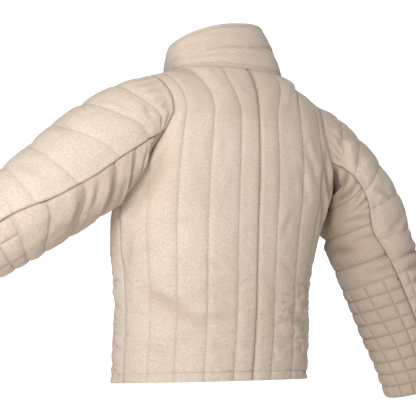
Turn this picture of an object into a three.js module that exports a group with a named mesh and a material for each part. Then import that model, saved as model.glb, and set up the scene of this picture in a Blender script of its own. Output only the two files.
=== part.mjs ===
// A quilted fencing jacket in its worn shape, with nobody in it.
// Millimetres: +x is the wearer's left, -y is the way the wearer faces and +z is up.
// The origin is level with the base of the collar, where the wearer's shoulders carry the jacket.
import * as THREE from "three";

const { lerp, clamp, smoothstep, degToRad } = THREE.MathUtils;

// ---- Driving dimensions ----

const HEM = -637; // the hem's height under the base of the collar
const HEM_SLANT = 0.027; // how much lower the hem hangs, for each millimetre to the left
const HEM_BAND = 18; // from the hem's edge to its row of stitching
const CHEST_TOP = -110; // the height at which the panels begin to round over the shoulders
const SEAM_GAP = 0.3; // between pieces that are sewn together
const WALL = 4; // the padded cloth's thickness along a row of stitching
const BODY_CROWN = 4.5; // how far a body channel stands up between its rows of stitching
const SLEEVE_CROWN = 4.5;
const FOREARM_CROWN = 4;
const FRONT_LAP = 42; // how far each front runs past the centre line

const CLOTH = { shell: 0xe0d5c6, under: 0xd6c8b6, collar: 0xdccfbe };

// The body's sections at the stitch lines, from the hem up: half widths to the left and right, depths to
// the back and front, and the middle's place. `square` is the exponent of the section's rounded corners.
const BODY_SECTIONS = [
  { z: HEM, left: 208, right: 211, back: 160, front: 158, x: 14, y: -38, square: 2.2 },
  { z: -545, left: 208, right: 208, back: 166, front: 158, x: 13, y: -33, square: 2.2 },
  { z: -450, left: 214, right: 206, back: 166, front: 156, x: 12, y: -27, square: 2.2 },
  { z: -340, left: 234, right: 225, back: 152, front: 152, x: 8, y: -14, square: 2.3 },
  { z: -240, left: 240, right: 246, back: 137, front: 148, x: 2, y: -2, square: 2.5 },
  { z: -170, left: 228, right: 238, back: 133, front: 142, x: 0, y: 0, square: 2.8 },
  { z: CHEST_TOP, left: 212, right: 225, back: 131, front: 132, x: 0, y: 0, square: 3 },
];

// Rows of stitching down the body, as shares of the half girth from the centre back to the centre front.
const SIDE_SEAM = 0.495;
const BACK_STITCHES = [0.075, 0.18, 0.28, 0.378];
const FRONT_STITCHES = [0.6, 0.7, 0.81, 0.91];

// Where the armhole cuts the body, from the blade of the back down under the arm and up to the chest.
const ARMHOLE_BACK = 0.325;
const ARMHOLE_FRONT = 0.665;
const ARMHOLE_CUT = [
  { share: ARMHOLE_BACK, z: CHEST_TOP },
  { share: 0.345, z: -146 },
  { share: 0.38, z: -184 },
  { share: 0.43, z: -212 },
  { share: SIDE_SEAM, z: -222 },
  { share: 0.56, z: -212 },
  { share: 0.61, z: -184 },
  { share: 0.645, z: -146 },
  { share: ARMHOLE_FRONT, z: CHEST_TOP },
];

// The neckline, and where the shoulder seam leaves it.
const NECK = { left: 124, right: 133, back: 86, front: 98, square: 2.2, backZ: 6, sideZ: 0, frontZ: -52 };
const NECK_SHARE_BACK = BACK_STITCHES[1];
const NECK_SHARE_FRONT = FRONT_STITCHES[2];
const SIDE_OF_NECK = 88; // degrees round the neckline from the centre back
const BESIDE_NECK = { back: 0.172, front: 0.8185 }; // extra columns where the neckline turns most
const SHOULDER_POINTS = {
  1: new THREE.Vector3(192, 8, -20),
  [-1]: new THREE.Vector3(-216, 4, -36),
};

// The sleeves' middle lines from the armhole to the cuff, with the radius over the arm, under it and across.
const SLEEVE_STATIONS = {
  1: [
    { x: 206, y: 10, z: -120, over: 100, under: 104, across: 96 },
    { x: 262, y: 2, z: -156, over: 98, under: 110, across: 98 },
    { x: 330, y: -12, z: -207, over: 93, under: 108, across: 98 },
    { x: 390, y: -26, z: -258, over: 87, under: 102, across: 95 },
    { x: 446, y: -43, z: -304, over: 81, under: 96, across: 92 },
    { x: 512, y: -80, z: -358, over: 75, under: 89, across: 86 },
    { x: 590, y: -130, z: -420, over: 69, under: 78, across: 76 },
    { x: 662, y: -178, z: -478, over: 60, under: 60, across: 60 },
  ],
  [-1]: [
    { x: -222, y: 10, z: -130, over: 98, under: 84, across: 92 },
    { x: -274, y: 18, z: -186, over: 100, under: 86, across: 94 },
    { x: -326, y: 26, z: -268, over: 102, under: 86, across: 94 },
    { x: -358, y: 36, z: -348, over: 96, under: 86, across: 92 },
    { x: -388, y: 44, z: -426, over: 90, under: 86, across: 90 },
    { x: -414, y: 50, z: -504, over: 82, under: 79, across: 82 },
    { x: -440, y: 54, z: -582, over: 71, under: 71, across: 70 },
    { x: -462, y: 56, z: -656, over: 61, under: 63, across: 62 },
  ],
};
const LEAVE_FALL = { 1: -0.35, [-1]: -0.05 }; // how steeply the top of each sleeve falls from the armhole
// The sleeve's fullness folds over at the back of the armpit: the corner it is at, and how far it is moved.
const ARMPIT = { corner: 8, wide: 2.4, peak: 0.1, inwards: 8, back: 18, down: 4 };
const FULL_SECTION = 2 / 7; // the share of the sleeve at which its section is free of the armhole
// Where each panel's channels are stitched, as shares of the sleeve's length. The forearm's squares begin at the last.
const SLEEVE_LINES = {
  1: { outer: [0, 0.098, 0.198, 0.298, 0.418, 0.543, 0.6], under: [0, 0.235, 0.355, 0.49, 0.59, 0.645] },
  [-1]: { outer: [0, 0.065, 0.126, 0.203, 0.287, 0.405, 0.49, 0.54], under: [0, 0.085, 0.18, 0.34, 0.46, 0.54] },
};
const SLEEVE_ROW = 0.02; // the widest step between two rows of the mesh
const FOREARM_ROWS = { 1: 8, [-1]: 9 };

// The collar is highest at its right back, `rise` being how much it varies and `turn` where, in degrees.
const COLLAR = { height: 88, rise: 27, turn: 56, top: 0.846, leanX: 12, leanY: -26 };

// ---- Curves through tables ----

// The value of one named column of a table at a place of the column `by`, on a smooth curve through its rows.
function along(table, by, name, at) {
  let i = 0;
  while (i < table.length - 2 && at > table[i + 1][by]) i += 1;
  const [a, b] = [table[i], table[i + 1]];
  const before = table[Math.max(i - 1, 0)];
  const after = table[Math.min(i + 2, table.length - 1)];
  const width = b[by] - a[by];
  const leave = ((b[name] - before[name]) / (b[by] - before[by])) * width;
  const arrive = ((after[name] - a[name]) / (after[by] - a[by])) * width;
  const t = clamp((at - a[by]) / width, 0, 1);
  return hermite(a[name], leave, b[name], arrive, t);
}

function hermite(a, leave, b, arrive, t) {
  const [t2, t3] = [t * t, t * t * t];
  return (2 * t3 - 3 * t2 + 1) * a + (t3 - 2 * t2 + t) * leave + (3 * t2 - 2 * t3) * b + (t3 - t2) * arrive;
}

function hermitePoint(a, leave, b, arrive, t) {
  const bend = (name) => hermite(a[name], leave[name], b[name], arrive[name], t);
  return new THREE.Vector3(bend("x"), bend("y"), bend("z"));
}

const signedPower = (value, power) => Math.sign(value) * Math.abs(value) ** power;

// ---- The body's surface ----

const SECTION_STEPS = 60;
const sectionCache = new Map();

// Half of the body's section at a height, from the centre back round one side, with the lengths along it.
function halfSection(z, side) {
  const key = `${z.toFixed(3)} ${side}`;
  if (!sectionCache.has(key)) {
    const at = (name) => along(BODY_SECTIONS, "z", name, z);
    const half = side > 0 ? at("left") : at("right");
    const [back, front, x, y, round] = [at("back"), at("front"), at("x"), at("y"), 2 / at("square")];
    const points = Array.from({ length: SECTION_STEPS + 1 }, (_, i) => {
      const angle = (Math.PI * i) / SECTION_STEPS;
      const depth = Math.cos(angle) > 0 ? back : front;
      const across = side * half * signedPower(Math.sin(angle), round);
      return new THREE.Vector3(x + across, y + depth * signedPower(Math.cos(angle), round), z);
    });
    const lengths = [0];
    for (let i = 1; i < points.length; i += 1) lengths.push(lengths[i - 1] + points[i].distanceTo(points[i - 1]));
    sectionCache.set(key, { points, lengths, middle: x });
  }
  return sectionCache.get(key);
}

// A point of the section at a share of the half girth. Past either centre line it goes on on the other side.
function sectionPoint(z, side, share) {
  const { points, lengths, middle } = halfSection(z, side);
  const turned = share < 0 ? -share : share > 1 ? 2 - share : share;
  const wanted = turned * lengths.at(-1);
  let i = 1;
  while (i < SECTION_STEPS && lengths[i] < wanted) i += 1;
  const t = (wanted - lengths[i - 1]) / (lengths[i] - lengths[i - 1]);
  const point = points[i - 1].clone().lerp(points[i], t);
  if (turned !== share) point.x = 2 * middle - point.x;
  return point;
}

// The neckline, from the centre back (0) through the side (90) to the centre front (180).
function neckPoint(side, degrees) {
  const angle = degToRad(degrees);
  const round = 2 / NECK.square;
  const depth = Math.cos(angle) > 0 ? NECK.back : NECK.front;
  const fall = degrees < 90 ? (1 - Math.cos(angle)) * (NECK.sideZ - NECK.backZ) + NECK.backZ
    : lerp(NECK.sideZ, NECK.frontZ, smoothstep(-Math.cos(angle), 0, 1));
  return new THREE.Vector3(
    side * (side > 0 ? NECK.left : NECK.right) * signedPower(Math.sin(angle), round), depth * signedPower(Math.cos(angle), round), fall);
}

// The degrees round the neckline at which a body column ends there, so that the columns arrive side by side.
function neckDegrees(share) {
  const isBack = share < SIDE_SEAM;
  const part = isBack ? share / NECK_SHARE_BACK : (1 - share) / (1 - NECK_SHARE_FRONT);
  const turned = Math.sign(part) * lerp(Math.abs(part), Math.asin(Math.min(Math.abs(part), 1)) / (Math.PI / 2), 0.8);
  return isBack ? SIDE_OF_NECK * turned : 180 - (180 - SIDE_OF_NECK) * turned;
}

// Where a body column ends: on the neckline, or on the shoulder seam from the neck out to the shoulder point.
function columnEnd(side, share) {
  if (share <= NECK_SHARE_BACK || share >= NECK_SHARE_FRONT) return neckPoint(side, neckDegrees(share));
  const [from, to] = share < SIDE_SEAM ? [NECK_SHARE_BACK, ARMHOLE_BACK] : [NECK_SHARE_FRONT, ARMHOLE_FRONT];
  return neckPoint(side, SIDE_OF_NECK).lerp(SHOULDER_POINTS[side], (share - from) / (to - from));
}

// The way a column runs where it ends: level across the shoulder seam, and rising towards the collar.
function columnEndWay(side, share) {
  const isBack = share < SIDE_SEAM;
  const toCentre = isBack ? 1 - Math.abs(share) / NECK_SHARE_BACK
    : 1 - Math.abs(1 - share) / (1 - NECK_SHARE_FRONT);
  const end = columnEnd(side, share);
  const inwards = new THREE.Vector3(-end.x, -end.y, 0).normalize();
  const level = new THREE.Vector3(0, isBack ? -1 : 1, 0).lerp(inwards, smoothstep(toCentre, 0, 1));
  return level.setZ((isBack ? 0.95 : 0.8) * clamp(toCentre, 0, 1)).normalize();
}

// A point of the body's surface: level 0 is the hem, 1 the top of the chest, and 2 the shoulder or neckline.
function bodyPoint(side, share, level) {
  if (level <= 1) {
    const point = sectionPoint(lerp(HEM, CHEST_TOP, level), side, share);
    point.z -= HEM_SLANT * point.x * (1 - level);
    return point;
  }
  const step = 2;
  const start = sectionPoint(CHEST_TOP, side, share);
  const end = columnEnd(side, share);
  const reach = start.distanceTo(end);
  const leave = start.clone().sub(sectionPoint(CHEST_TOP - step, side, share)).normalize().multiplyScalar(reach);
  const arrive = columnEndWay(side, share).multiplyScalar(reach * 1.15);
  return hermitePoint(start, leave, end, arrive, level - 1);
}

// The outward direction of a surface given as a function of a place round it and a place along it.
function outward(surface, round, up, side, roundStep = 1e-3) {
  const upStep = 1e-3;
  const across = surface(round + roundStep, up).sub(surface(round - roundStep, up));
  const rising = surface(round, up + upStep).sub(surface(round, up - upStep));
  return rising.cross(across).multiplyScalar(side).normalize();
}

const bodyNormal = (side, share, level) => outward((u, v) => bodyPoint(side, u, v), share, level, side);

// ---- Quilting ----

// How high the padding stands at a place between rows of stitching, as a share of the full crown.
function puff(at, stitches) {
  for (let i = 1; i < stitches.length; i += 1) {
    const [a, b] = [stitches[i - 1], stitches[i]];
    if (at <= b) return Math.sin(Math.PI * clamp((at - a) / (b - a), 0, 1)) ** 0.6;
  }
  return 0;
}

// Large folds of the cloth, each from one place of a panel to another (share of the half girth, height).
const BODY_FOLDS = [
  { side: 1, share: 0.4, z: -458, toShare: 0.2, toZ: -520, wide: 16, deep: 5 },
  { side: 1, share: 0.2, z: -520, toShare: 0.08, toZ: -512, wide: 12, deep: 3 },
  { side: 1, share: 0.44, z: -300, toShare: 0.33, toZ: -215, wide: 18, deep: 6 },
  { side: -1, share: 0.42, z: -300, toShare: 0.3, toZ: -190, wide: 16, deep: 5 },
  { side: -1, share: 0.36, z: -330, toShare: 0.27, toZ: -215, wide: 14, deep: 4 },
  { side: -1, share: 0.16, z: -505, toShare: 0.3, toZ: -535, wide: 14, deep: 4 },
  { side: 1, share: 0.56, z: -300, toShare: 0.68, toZ: -205, wide: 18, deep: 5 },
  { side: -1, share: 0.57, z: -310, toShare: 0.7, toZ: -205, wide: 16, deep: 5 },
  { side: 1, share: 0.62, z: -480, toShare: 0.82, toZ: -530, wide: 16, deep: 4 },
  { side: -1, share: 0.6, z: -470, toShare: 0.8, toZ: -500, wide: 16, deep: 4 },
];

// How deep the folds press the surface in at a place, measured on a flat map of the panel.
function foldDepth(folds, side, share, z, mapScale) {
  return folds.filter((fold) => fold.side === side).reduce((sum, fold) => {
    const a = new THREE.Vector2(fold.share * mapScale, fold.z);
    const line = new THREE.Vector2(fold.toShare * mapScale, fold.toZ).sub(a);
    const place = new THREE.Vector2(share * mapScale, z).sub(a);
    const t = clamp(place.dot(line) / line.lengthSq(), 0, 1);
    const off = place.distanceTo(line.clone().multiplyScalar(t));
    return sum + fold.deep * Math.exp(-((off / fold.wide) ** 2)) * Math.sin(Math.PI * lerp(0.2, 0.8, t));
  }, 0);
}

// ---- Walls of cloth ----

// A closed wall between an outer grid of points and a plain, coarser inner one. `holds(i, j)` says whether
// the cell between columns i, i + 1 and rows j, j + 1 is cloth, and `columns` and `rows` list what the inside keeps.
function clothWall({ name, colour, outer, inner, holds, columns, rows }) {
  const positions = [];
  const triangles = [];
  const numbered = (point) => (i, j) => {
    const key = `${i},${j}`;
    if (!numbered.made.has(point)) numbered.made.set(point, new Map());
    const made = numbered.made.get(point);
    if (!made.has(key)) made.set(key, positions.push(point(i, j)) - 1);
    return made.get(key);
  };
  numbered.made = new Map();
  const [out, into] = [numbered(outer), numbered(inner)];
  const [lastColumn, lastRow] = [columns.at(-1), rows.at(-1)];
  const inside = (i, j) => i >= 0 && j >= 0 && i < lastColumn && j < lastRow && holds(i, j);
  const quad = (a, b, c, d) => triangles.push([a, b, c], [a, c, d]);

  // The cells' open edges, each kept under the corner that it starts from.
  const nextCorner = new Map();
  for (let i = 0; i < lastColumn; i += 1) {
    for (let j = 0; j < lastRow; j += 1) {
      if (!inside(i, j)) continue;
      quad(out(i, j), out(i + 1, j), out(i + 1, j + 1), out(i, j + 1));
      if (!inside(i, j - 1)) nextCorner.set(`${i},${j}`, [i + 1, j]);
      if (!inside(i + 1, j)) nextCorner.set(`${i + 1},${j}`, [i + 1, j + 1]);
      if (!inside(i, j + 1)) nextCorner.set(`${i + 1},${j + 1}`, [i, j + 1]);
      if (!inside(i - 1, j)) nextCorner.set(`${i},${j + 1}`, [i, j]);
    }
  }
  for (let m = 1; m < columns.length; m += 1) {
    for (let n = 1; n < rows.length; n += 1) {
      const [i, k, j, l] = [columns[m - 1], columns[m], rows[n - 1], rows[n]];
      if (inside(i, j)) quad(into(i, j), into(i, l), into(k, l), into(k, j));
    }
  }
  // The rim runs round the open edges, a stretch between two kept corners at a time. The stretch's outer
  // corners all join the inner corner with the lower numbers, so that neighbours' rims match.
  const kept = ([i, j]) => columns.includes(i) && rows.includes(j);
  let corner = [0, 0];
  do {
    const stretch = [corner];
    do stretch.push(nextCorner.get(stretch.at(-1).join())); while (!kept(stretch.at(-1)));
    const [first, final] = [stretch[0], stretch.at(-1)];
    const isRising = final[0] + final[1] > first[0] + first[1];
    const hub = isRising ? into(...first) : into(...final);
    const edge = isRising ? out(...final) : out(...first);
    for (let k = 1; k < stretch.length; k += 1) triangles.push([out(...stretch[k - 1]), hub, out(...stretch[k])]);
    triangles.push([edge, into(...first), into(...final)]);
    corner = final;
  } while (corner.join() !== "0,0");
  return closedMesh(name, colour, positions, triangles);
}

// A mesh of the triangles with its faces pointing out.
function closedMesh(name, colour, positions, triangles) {
  const volume = triangles.reduce(
    (sum, [a, b, c]) => sum + positions[a].dot(positions[b].clone().cross(positions[c])), 0);
  const facing = volume > 0 ? triangles : triangles.map(([a, b, c]) => [a, c, b]);
  const geometry = new THREE.BufferGeometry().setFromPoints(positions);
  geometry.setIndex(facing.flat());
  geometry.computeVertexNormals();
  const mesh = new THREE.Mesh(geometry, new THREE.MeshStandardMaterial({ color: colour, roughness: 0.93, metalness: 0 }));
  mesh.name = name;
  return mesh;
}

// ---- The body's four panels ----

const LAP = FRONT_LAP / 600; // how far a front runs past the centre, as a share of the half girth
const LAP_OUT = 10;
const LAP_UP = 6;

// The left front rides over the right one, so it stands out by a wall and a gap where they lap, and up at the neck.
function lapMove(side, share, level, point) {
  const lapped = side > 0 ? smoothstep(share, 1 - 2.6 * LAP, 1 - 1.3 * LAP) : 0;
  return new THREE.Vector3(point.x, point.y, 0).setLength(LAP_OUT * lapped).setZ(LAP_UP * lapped * smoothstep(level, 1, 2));
}

const CHANNEL_STEPS = 3; // columns between two rows of stitching
const SIDE_ROWS = 19; // rows from the hem to the top of the chest
const SHOULDER_ROWS = 5; // rows from there over the shoulder

// Every stitch line's share, with evenly spaced shares between them.
function spread(stops, steps) {
  const shares = stops.slice(1).flatMap((stop, k) =>
    Array.from({ length: steps }, (_, i) => lerp(stops[k], stop, i / steps)));
  return [...shares, stops.at(-1)];
}

// The row heights, as shares from the hem to the top of the chest, with one on the hem's stitching.
const bandShare = HEM_BAND / (CHEST_TOP - HEM);
const rowShares = [0, ...Array.from({ length: SIDE_ROWS }, (_, j) => lerp(bandShare, 1, j / (SIDE_ROWS - 1)))];
const rowLevels = [...rowShares, ...Array.from({ length: SHOULDER_ROWS }, (_, j) => 1 + (j + 1) / SHOULDER_ROWS)];

// The level of row j in a column: under the armhole the rows draw together below its cut.
function rowLevel(share, j) {
  const isUnderArm = share > ARMHOLE_BACK && share < ARMHOLE_FRONT;
  if (!isUnderArm) return rowLevels[j];
  const cut = along(ARMHOLE_CUT, "share", "z", share);
  return (rowShares[j] * (cut - HEM)) / (CHEST_TOP - HEM);
}

// The columns of one panel, as shares of the half girth, and which of them lie beside the armhole.
const gapShare = SEAM_GAP / 2 / 600;
const backShares = [
  ...spread([gapShare, ...BACK_STITCHES.slice(0, 2)], CHANNEL_STEPS).slice(0, -1),
  ...[BESIDE_NECK.back, ...spread(BACK_STITCHES.slice(1, 3), CHANNEL_STEPS)],
  ...[ARMHOLE_BACK, 0.345, 0.368, 0.395, 0.428, 0.461, SIDE_SEAM - gapShare],
];
const frontShares = [
  ...[SIDE_SEAM + gapShare, 0.53, 0.565, 0.6, 0.624, 0.645, ARMHOLE_FRONT],
  ...[...spread([0.7, NECK_SHARE_FRONT], CHANNEL_STEPS), BESIDE_NECK.front],
  ...spread([NECK_SHARE_FRONT, FRONT_STITCHES[3], 1], CHANNEL_STEPS).slice(1),
];
const ARMHOLE_COLUMNS = 6;

function bodyPanel({ name, side, isFront }) {
  const shares = isFront ? [...frontShares, 1 + LAP / 2, 1 + LAP] : backShares;
  const last = shares.length - 1;
  const stitches = isFront ? [SIDE_SEAM, ...FRONT_STITCHES, 1 + LAP] : [0, ...BACK_STITCHES, SIDE_SEAM];
  const topRow = rowLevels.length - 1;
  const chestRow = SIDE_ROWS;
  const holds = (i, j) => j < chestRow || (isFront ? i >= ARMHOLE_COLUMNS : i < last - ARMHOLE_COLUMNS);
  const level = (i, j) => {
    const value = rowLevel(shares[i], j);
    return j === topRow ? value - SEAM_GAP / 2 / 130 : value;
  };
  const lapFlat = (share) => (isFront ? 1 - 0.8 * smoothstep(share, 1 - 1.6 * LAP, 1 - LAP) : 1);
  const moved = (i, j, lift) => {
    const [share, up] = [shares[i], level(i, j)];
    const point = bodyPoint(side, share, up);
    return point.add(lapMove(side, share, up, point)).addScaledVector(bodyNormal(side, share, up), lift);
  };
  const relief = (i, j) => {
    const share = shares[i];
    const z = lerp(HEM, CHEST_TOP, level(i, j));
    const fromHem = j === 0 ? 0.25 : smoothstep(j, 1, 2.5);
    const fromTop = 1 - smoothstep(j, topRow - 1.5, topRow);
    const fromArm = share > ARMHOLE_BACK - 0.001 && share < ARMHOLE_FRONT + 0.001 ? 1 - smoothstep(j, chestRow - 3, chestRow) : 1;
    const crown = BODY_CROWN * puff(share, stitches) * fromHem * fromTop * fromArm * lapFlat(share);
    return crown - Math.min(foldDepth(BODY_FOLDS, side, share, z, 600), WALL - 1 + crown) * fromHem * fromArm;
  };
  const rows = rowLevels.map((_, j) => j).filter((j) => j === 0 || j > chestRow || (chestRow - j) % 3 === 0);
  return clothWall({
    name, colour: CLOTH.shell, holds, columns: shares.map((_, i) => i), rows,
    outer: (i, j) => moved(i, j, relief(i, j)),
    inner: (i, j) => moved(i, j, -WALL),
  });
}

// ---- The sleeves ----

// The armhole's corners as the panels have them, from the shoulder point down the back, under the arm and up the
// front: the edge's point, the panel's outward direction and the way the sleeve leaves it.
function armholeLoop(side) {
  const places = [
    ...Array.from({ length: SHOULDER_ROWS + 1 }, (_, j) => [ARMHOLE_BACK, 2 - j / SHOULDER_ROWS]),
    ...backShares.slice(-ARMHOLE_COLUMNS, -1).map((share) => [share, rowLevel(share, SIDE_ROWS)]),
    [SIDE_SEAM, rowLevel(SIDE_SEAM, SIDE_ROWS)],
    ...frontShares.slice(1, ARMHOLE_COLUMNS).map((share) => [share, rowLevel(share, SIDE_ROWS)]),
    ...Array.from({ length: SHOULDER_ROWS }, (_, j) => [ARMHOLE_FRONT, 1 + j / SHOULDER_ROWS]),
  ];
  const points = places.map(([share, level]) => bodyPoint(side, share, level));
  const centre = points.reduce((sum, point) => sum.add(point), new THREE.Vector3()).divideScalar(points.length);
  return places.map(([share, level], k) => {
    const normal = bodyNormal(side, share, Math.min(level, 1.999));
    const edge = points[(k + 1) % points.length].clone().sub(points.at(k - 1));
    const away = edge.cross(normal).normalize();
    const toCentre = centre.clone().sub(points[k]);
    toCentre.x += side * 60;
    return { point: points[k], normal, away: away.multiplyScalar(Math.sign(away.dot(toCentre))) };
  });
}

// A sleeve's surface: the place round it is a corner's number on the armhole, and the place along it goes from 0 to 1.
function makeSleeve(side) {
  const loop = armholeLoop(side);
  const corners = loop.length;
  const stations = SLEEVE_STATIONS[side].map((row, i, all) => ({ ...row, share: i / (all.length - 1) }));
  const middle = (share) => new THREE.Vector3(
    along(stations, "share", "x", share), along(stations, "share", "y", share), along(stations, "share", "z", share));
  // The seams run off the armhole's corners: the right ones turn back about the arm, and the left ones turn down.
  const turn = (share) => (side < 0
    ? -smoothstep(share, 0, FULL_SECTION) - 0.9 * smoothstep(share, 0.3, 0.85)
    : 0.6 * smoothstep(share, 0, 0.12) * (1 - smoothstep(share, 0.3, 0.62)));

  function ring(corner, share) {
    const step = 0.01;
    const way = middle(share + step > 1 ? 1 : share + step).sub(middle(share - step)).normalize();
    const top = new THREE.Vector3(0, 0, 1).addScaledVector(way, -way.z).normalize();
    const back = top.clone().cross(way).multiplyScalar(side);
    const angle = (2 * Math.PI * (corner + turn(share))) / corners;
    const reach = Math.cos(angle) > 0 ? "over" : "under";
    return middle(share)
      .addScaledVector(top, Math.cos(angle) * along(stations, "share", reach, share))
      .addScaledVector(back, Math.sin(angle) * along(stations, "share", "across", share));
  }

  function surface(corner, share) {
    if (share >= FULL_SECTION) return ring(corner, share);
    const whole = Math.floor(corner);
    const [a, b] = [loop[(whole + corners) % corners], loop[(whole + 1 + corners) % corners]];
    const t = corner - whole;
    const mix = (name) => a[name].clone().lerp(b[name], t);
    const [normal, away] = [mix("normal").normalize(), mix("away").normalize()];
    const start = mix("point").addScaledVector(normal, SEAM_GAP * 1.2).addScaledVector(away, SEAM_GAP * 1.2);
    const end = ring(corner, FULL_SECTION);
    const isOver = Math.max(0, Math.cos((2 * Math.PI * corner) / corners));
    const reach = start.distanceTo(end);
    const leave = new THREE.Vector3(side, 0, LEAVE_FALL[side]).addScaledVector(away, isOver).normalize();
    const arrive = ring(corner, FULL_SECTION + 0.01).sub(end).normalize();
    const point = hermitePoint(start, leave.multiplyScalar(reach * 1.1), end, arrive.multiplyScalar(reach), share / FULL_SECTION);
    const armpit = Math.exp(-(((corner - ARMPIT.corner) / ARMPIT.wide) ** 2));
    const alongFold = smoothstep(share, 0, ARMPIT.peak) * (1 - smoothstep(share, ARMPIT.peak, FULL_SECTION));
    return point.add(new THREE.Vector3(-side * ARMPIT.inwards, ARMPIT.back, -ARMPIT.down).multiplyScalar(armpit * alongFold));
  }
  // The wall's direction is the body's own where the sleeve is sewn on, so that the two edges lie side by side.
  function normal(corner, share) {
    if (share > 0) return outward(surface, corner, Math.min(share, 0.995), side, 0.5);
    const whole = Math.floor(corner);
    const [a, b] = [loop[(whole + corners) % corners], loop[(whole + 1 + corners) % corners]];
    return a.normal.clone().lerp(b.normal, corner - whole).normalize();
  }
  // Half a seam's gap, in corners: they stand closer together as the sleeve narrows.
  const halfGap = (share) => (SEAM_GAP * corners) / (4 * Math.PI * along(stations, "share", "across", share));
  return { corners, surface, normal, halfGap, side };
}

// How far the left sleeve's rows of stitching run up towards the shoulder near the back seam, as a share.
function rowSlide(side, isOuter, corner, share) {
  if (side < 0) return 0;
  if (isOuter) {
    const rising = Math.max(0, (Math.abs(corner) - 0.8) / 5.2) ** 1.5;
    return 0.12 * rising * Math.min(1, share / 0.15) * (1 - smoothstep(share, 0.15, 0.54));
  }
  return 0.11 * (1 - smoothstep(corner, 6, 10.5)) * Math.min(1, share / 0.3) * (1 - smoothstep(share, 0.5, 0.72));
}

function sleevePanel({ name, sleeve, from, to }) {
  const { surface, normal, halfGap, side } = sleeve;
  const isOuter = from < 0;
  const lines = SLEEVE_LINES[side][isOuter ? "outer" : "under"];
  const forearm = lines[lines.length - 1];
  const crosses = Array.from({ length: FOREARM_ROWS[side] + 1 }, (_, j) => lerp(forearm, 1, j / FOREARM_ROWS[side]));
  const shares = [
    ...lines.slice(1).flatMap((line, i) => {
      const steps = Math.max(2, Math.ceil((line - lines[i]) / SLEEVE_ROW));
      return spread([lines[i], line], steps).slice(0, -1);
    }),
    ...spread(crosses, 2),
  ];
  const count = to - from;
  const corner = (i, share) => from + i + (i === 0 ? halfGap(share) : i === count ? -halfGap(share) : 0);
  const relief = (i, j) => {
    const share = shares[j];
    const fade = smoothstep(share, 0.02, 0.12);
    if (share < forearm) return SLEEVE_CROWN * puff(share, lines) * fade * (i === 0 || i === count ? 0.45 : 1);
    // Two columns make a square, and its padding is highest where they meet.
    const square = (share - forearm) / (1 - forearm) * FOREARM_ROWS[side];
    const isCrown = i > 0 && i < count && i % 2 === (isOuter ? 1 : 0) && Math.abs(square % 1 - 0.5) < 0.1;
    return isCrown ? FOREARM_CROWN : 0;
  };
  const moved = (i, j, lift) => {
    const share = shares[j] - rowSlide(side, isOuter, from + i, shares[j]);
    const round = corner(i, share);
    return surface(round, share).addScaledVector(normal(round, share), lift);
  };
  return clothWall({
    name, colour: isOuter ? CLOTH.shell : CLOTH.under,
    holds: () => true,
    columns: Array.from({ length: count + 1 }, (_, i) => i),
    rows: shares.map((_, j) => j),
    outer: (i, j) => moved(i, j, relief(i, j)),
    inner: (i, j) => moved(i, j, -WALL),
  });
}

// ---- The collar ----

// It stands on the neckline, from the right front's edge round the back to the left front's, which is outside.
function makeCollar() {
  const heights = [0, 0.08, 0.3, 0.52, 0.58, 0.8, 0.93, 1];
  const lifts = [0, 0.3, 1, 1, 0.4, 1, 0.3, 0.5];
  // Its columns stand on those of the panels, which the right half counts with a minus sign.
  const half = [...backShares.filter((share) => share > gapShare && share < NECK_SHARE_BACK + 1e-6),
    ...frontShares.filter((share) => share > NECK_SHARE_FRONT + 1e-6), 1 + LAP / 2, 1 + LAP];
  const stops = [...half.map((share) => -share).reverse(), 0, ...half];
  const place = (i, height, lift) => {
    const [side, share] = [stops[i] < 0 ? -1 : 1, Math.abs(stops[i])];
    const degrees = neckDegrees(share);
    const turn = side * degrees;
    const base = neckPoint(side, degrees);
    const way = new THREE.Vector3(base.x, base.y, 0).normalize();
    const tall = COLLAR.height + COLLAR.rise * Math.cos(degToRad(turn + COLLAR.turn));
    const shrink = lerp(1, COLLAR.top, height ** 1.4);
    const rise = new THREE.Vector3(base.x * (shrink - 1) + COLLAR.leanX * height,
      base.y * (shrink - 1) + COLLAR.leanY * height, 0.7 + tall * height);
    return base.add(lapMove(side, share, 2, base)).add(rise).addScaledVector(way, lift);
  };
  return clothWall({
    name: "collar", colour: CLOTH.collar, holds: () => true,
    columns: stops.map((_, i) => i),
    rows: [0, 3, 5, 7],
    outer: (i, j) => place(i, heights[j], 3 * lifts[j] - 0.4),
    inner: (i, j) => place(i, heights[j], -WALL),
  });
}

// ---- The jacket ----

const jacket = new THREE.Group();
jacket.name = "fencing_jacket";
for (const [side, word] of [[1, "left"], [-1, "right"]]) {
  jacket.add(bodyPanel({ name: `back_${word}`, side, isFront: false }));
  jacket.add(bodyPanel({ name: `front_${word}`, side, isFront: true }));
  const sleeve = makeSleeve(side);
  const seam = side > 0 ? { back: 6, front: sleeve.corners - 5 } : { back: 7, front: sleeve.corners - 4 };
  jacket.add(sleevePanel({ name: `sleeve_${word}_outer`, sleeve, from: seam.front - sleeve.corners, to: seam.back }));
  jacket.add(sleevePanel({ name: `sleeve_${word}_under`, sleeve, from: seam.back, to: seam.front }));
}
jacket.add(makeCollar());

export default jacket;
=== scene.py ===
"""A quilted fencing jacket in its worn shape, dressed for a plain studio picture.

Each panel is a wall of padded cloth on the form of its solid: the outer face carries the quilting, the
seams, the creases and the hems, and the inner face is plain. Lengths are in millimetres until a mesh is made.
"""

import logging
import math
from collections.abc import Callable, Sequence
from dataclasses import dataclass, field
from enum import Enum

import bmesh
import bpy
import numpy as np
from mathutils import Euler, Matrix, Vector


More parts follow.
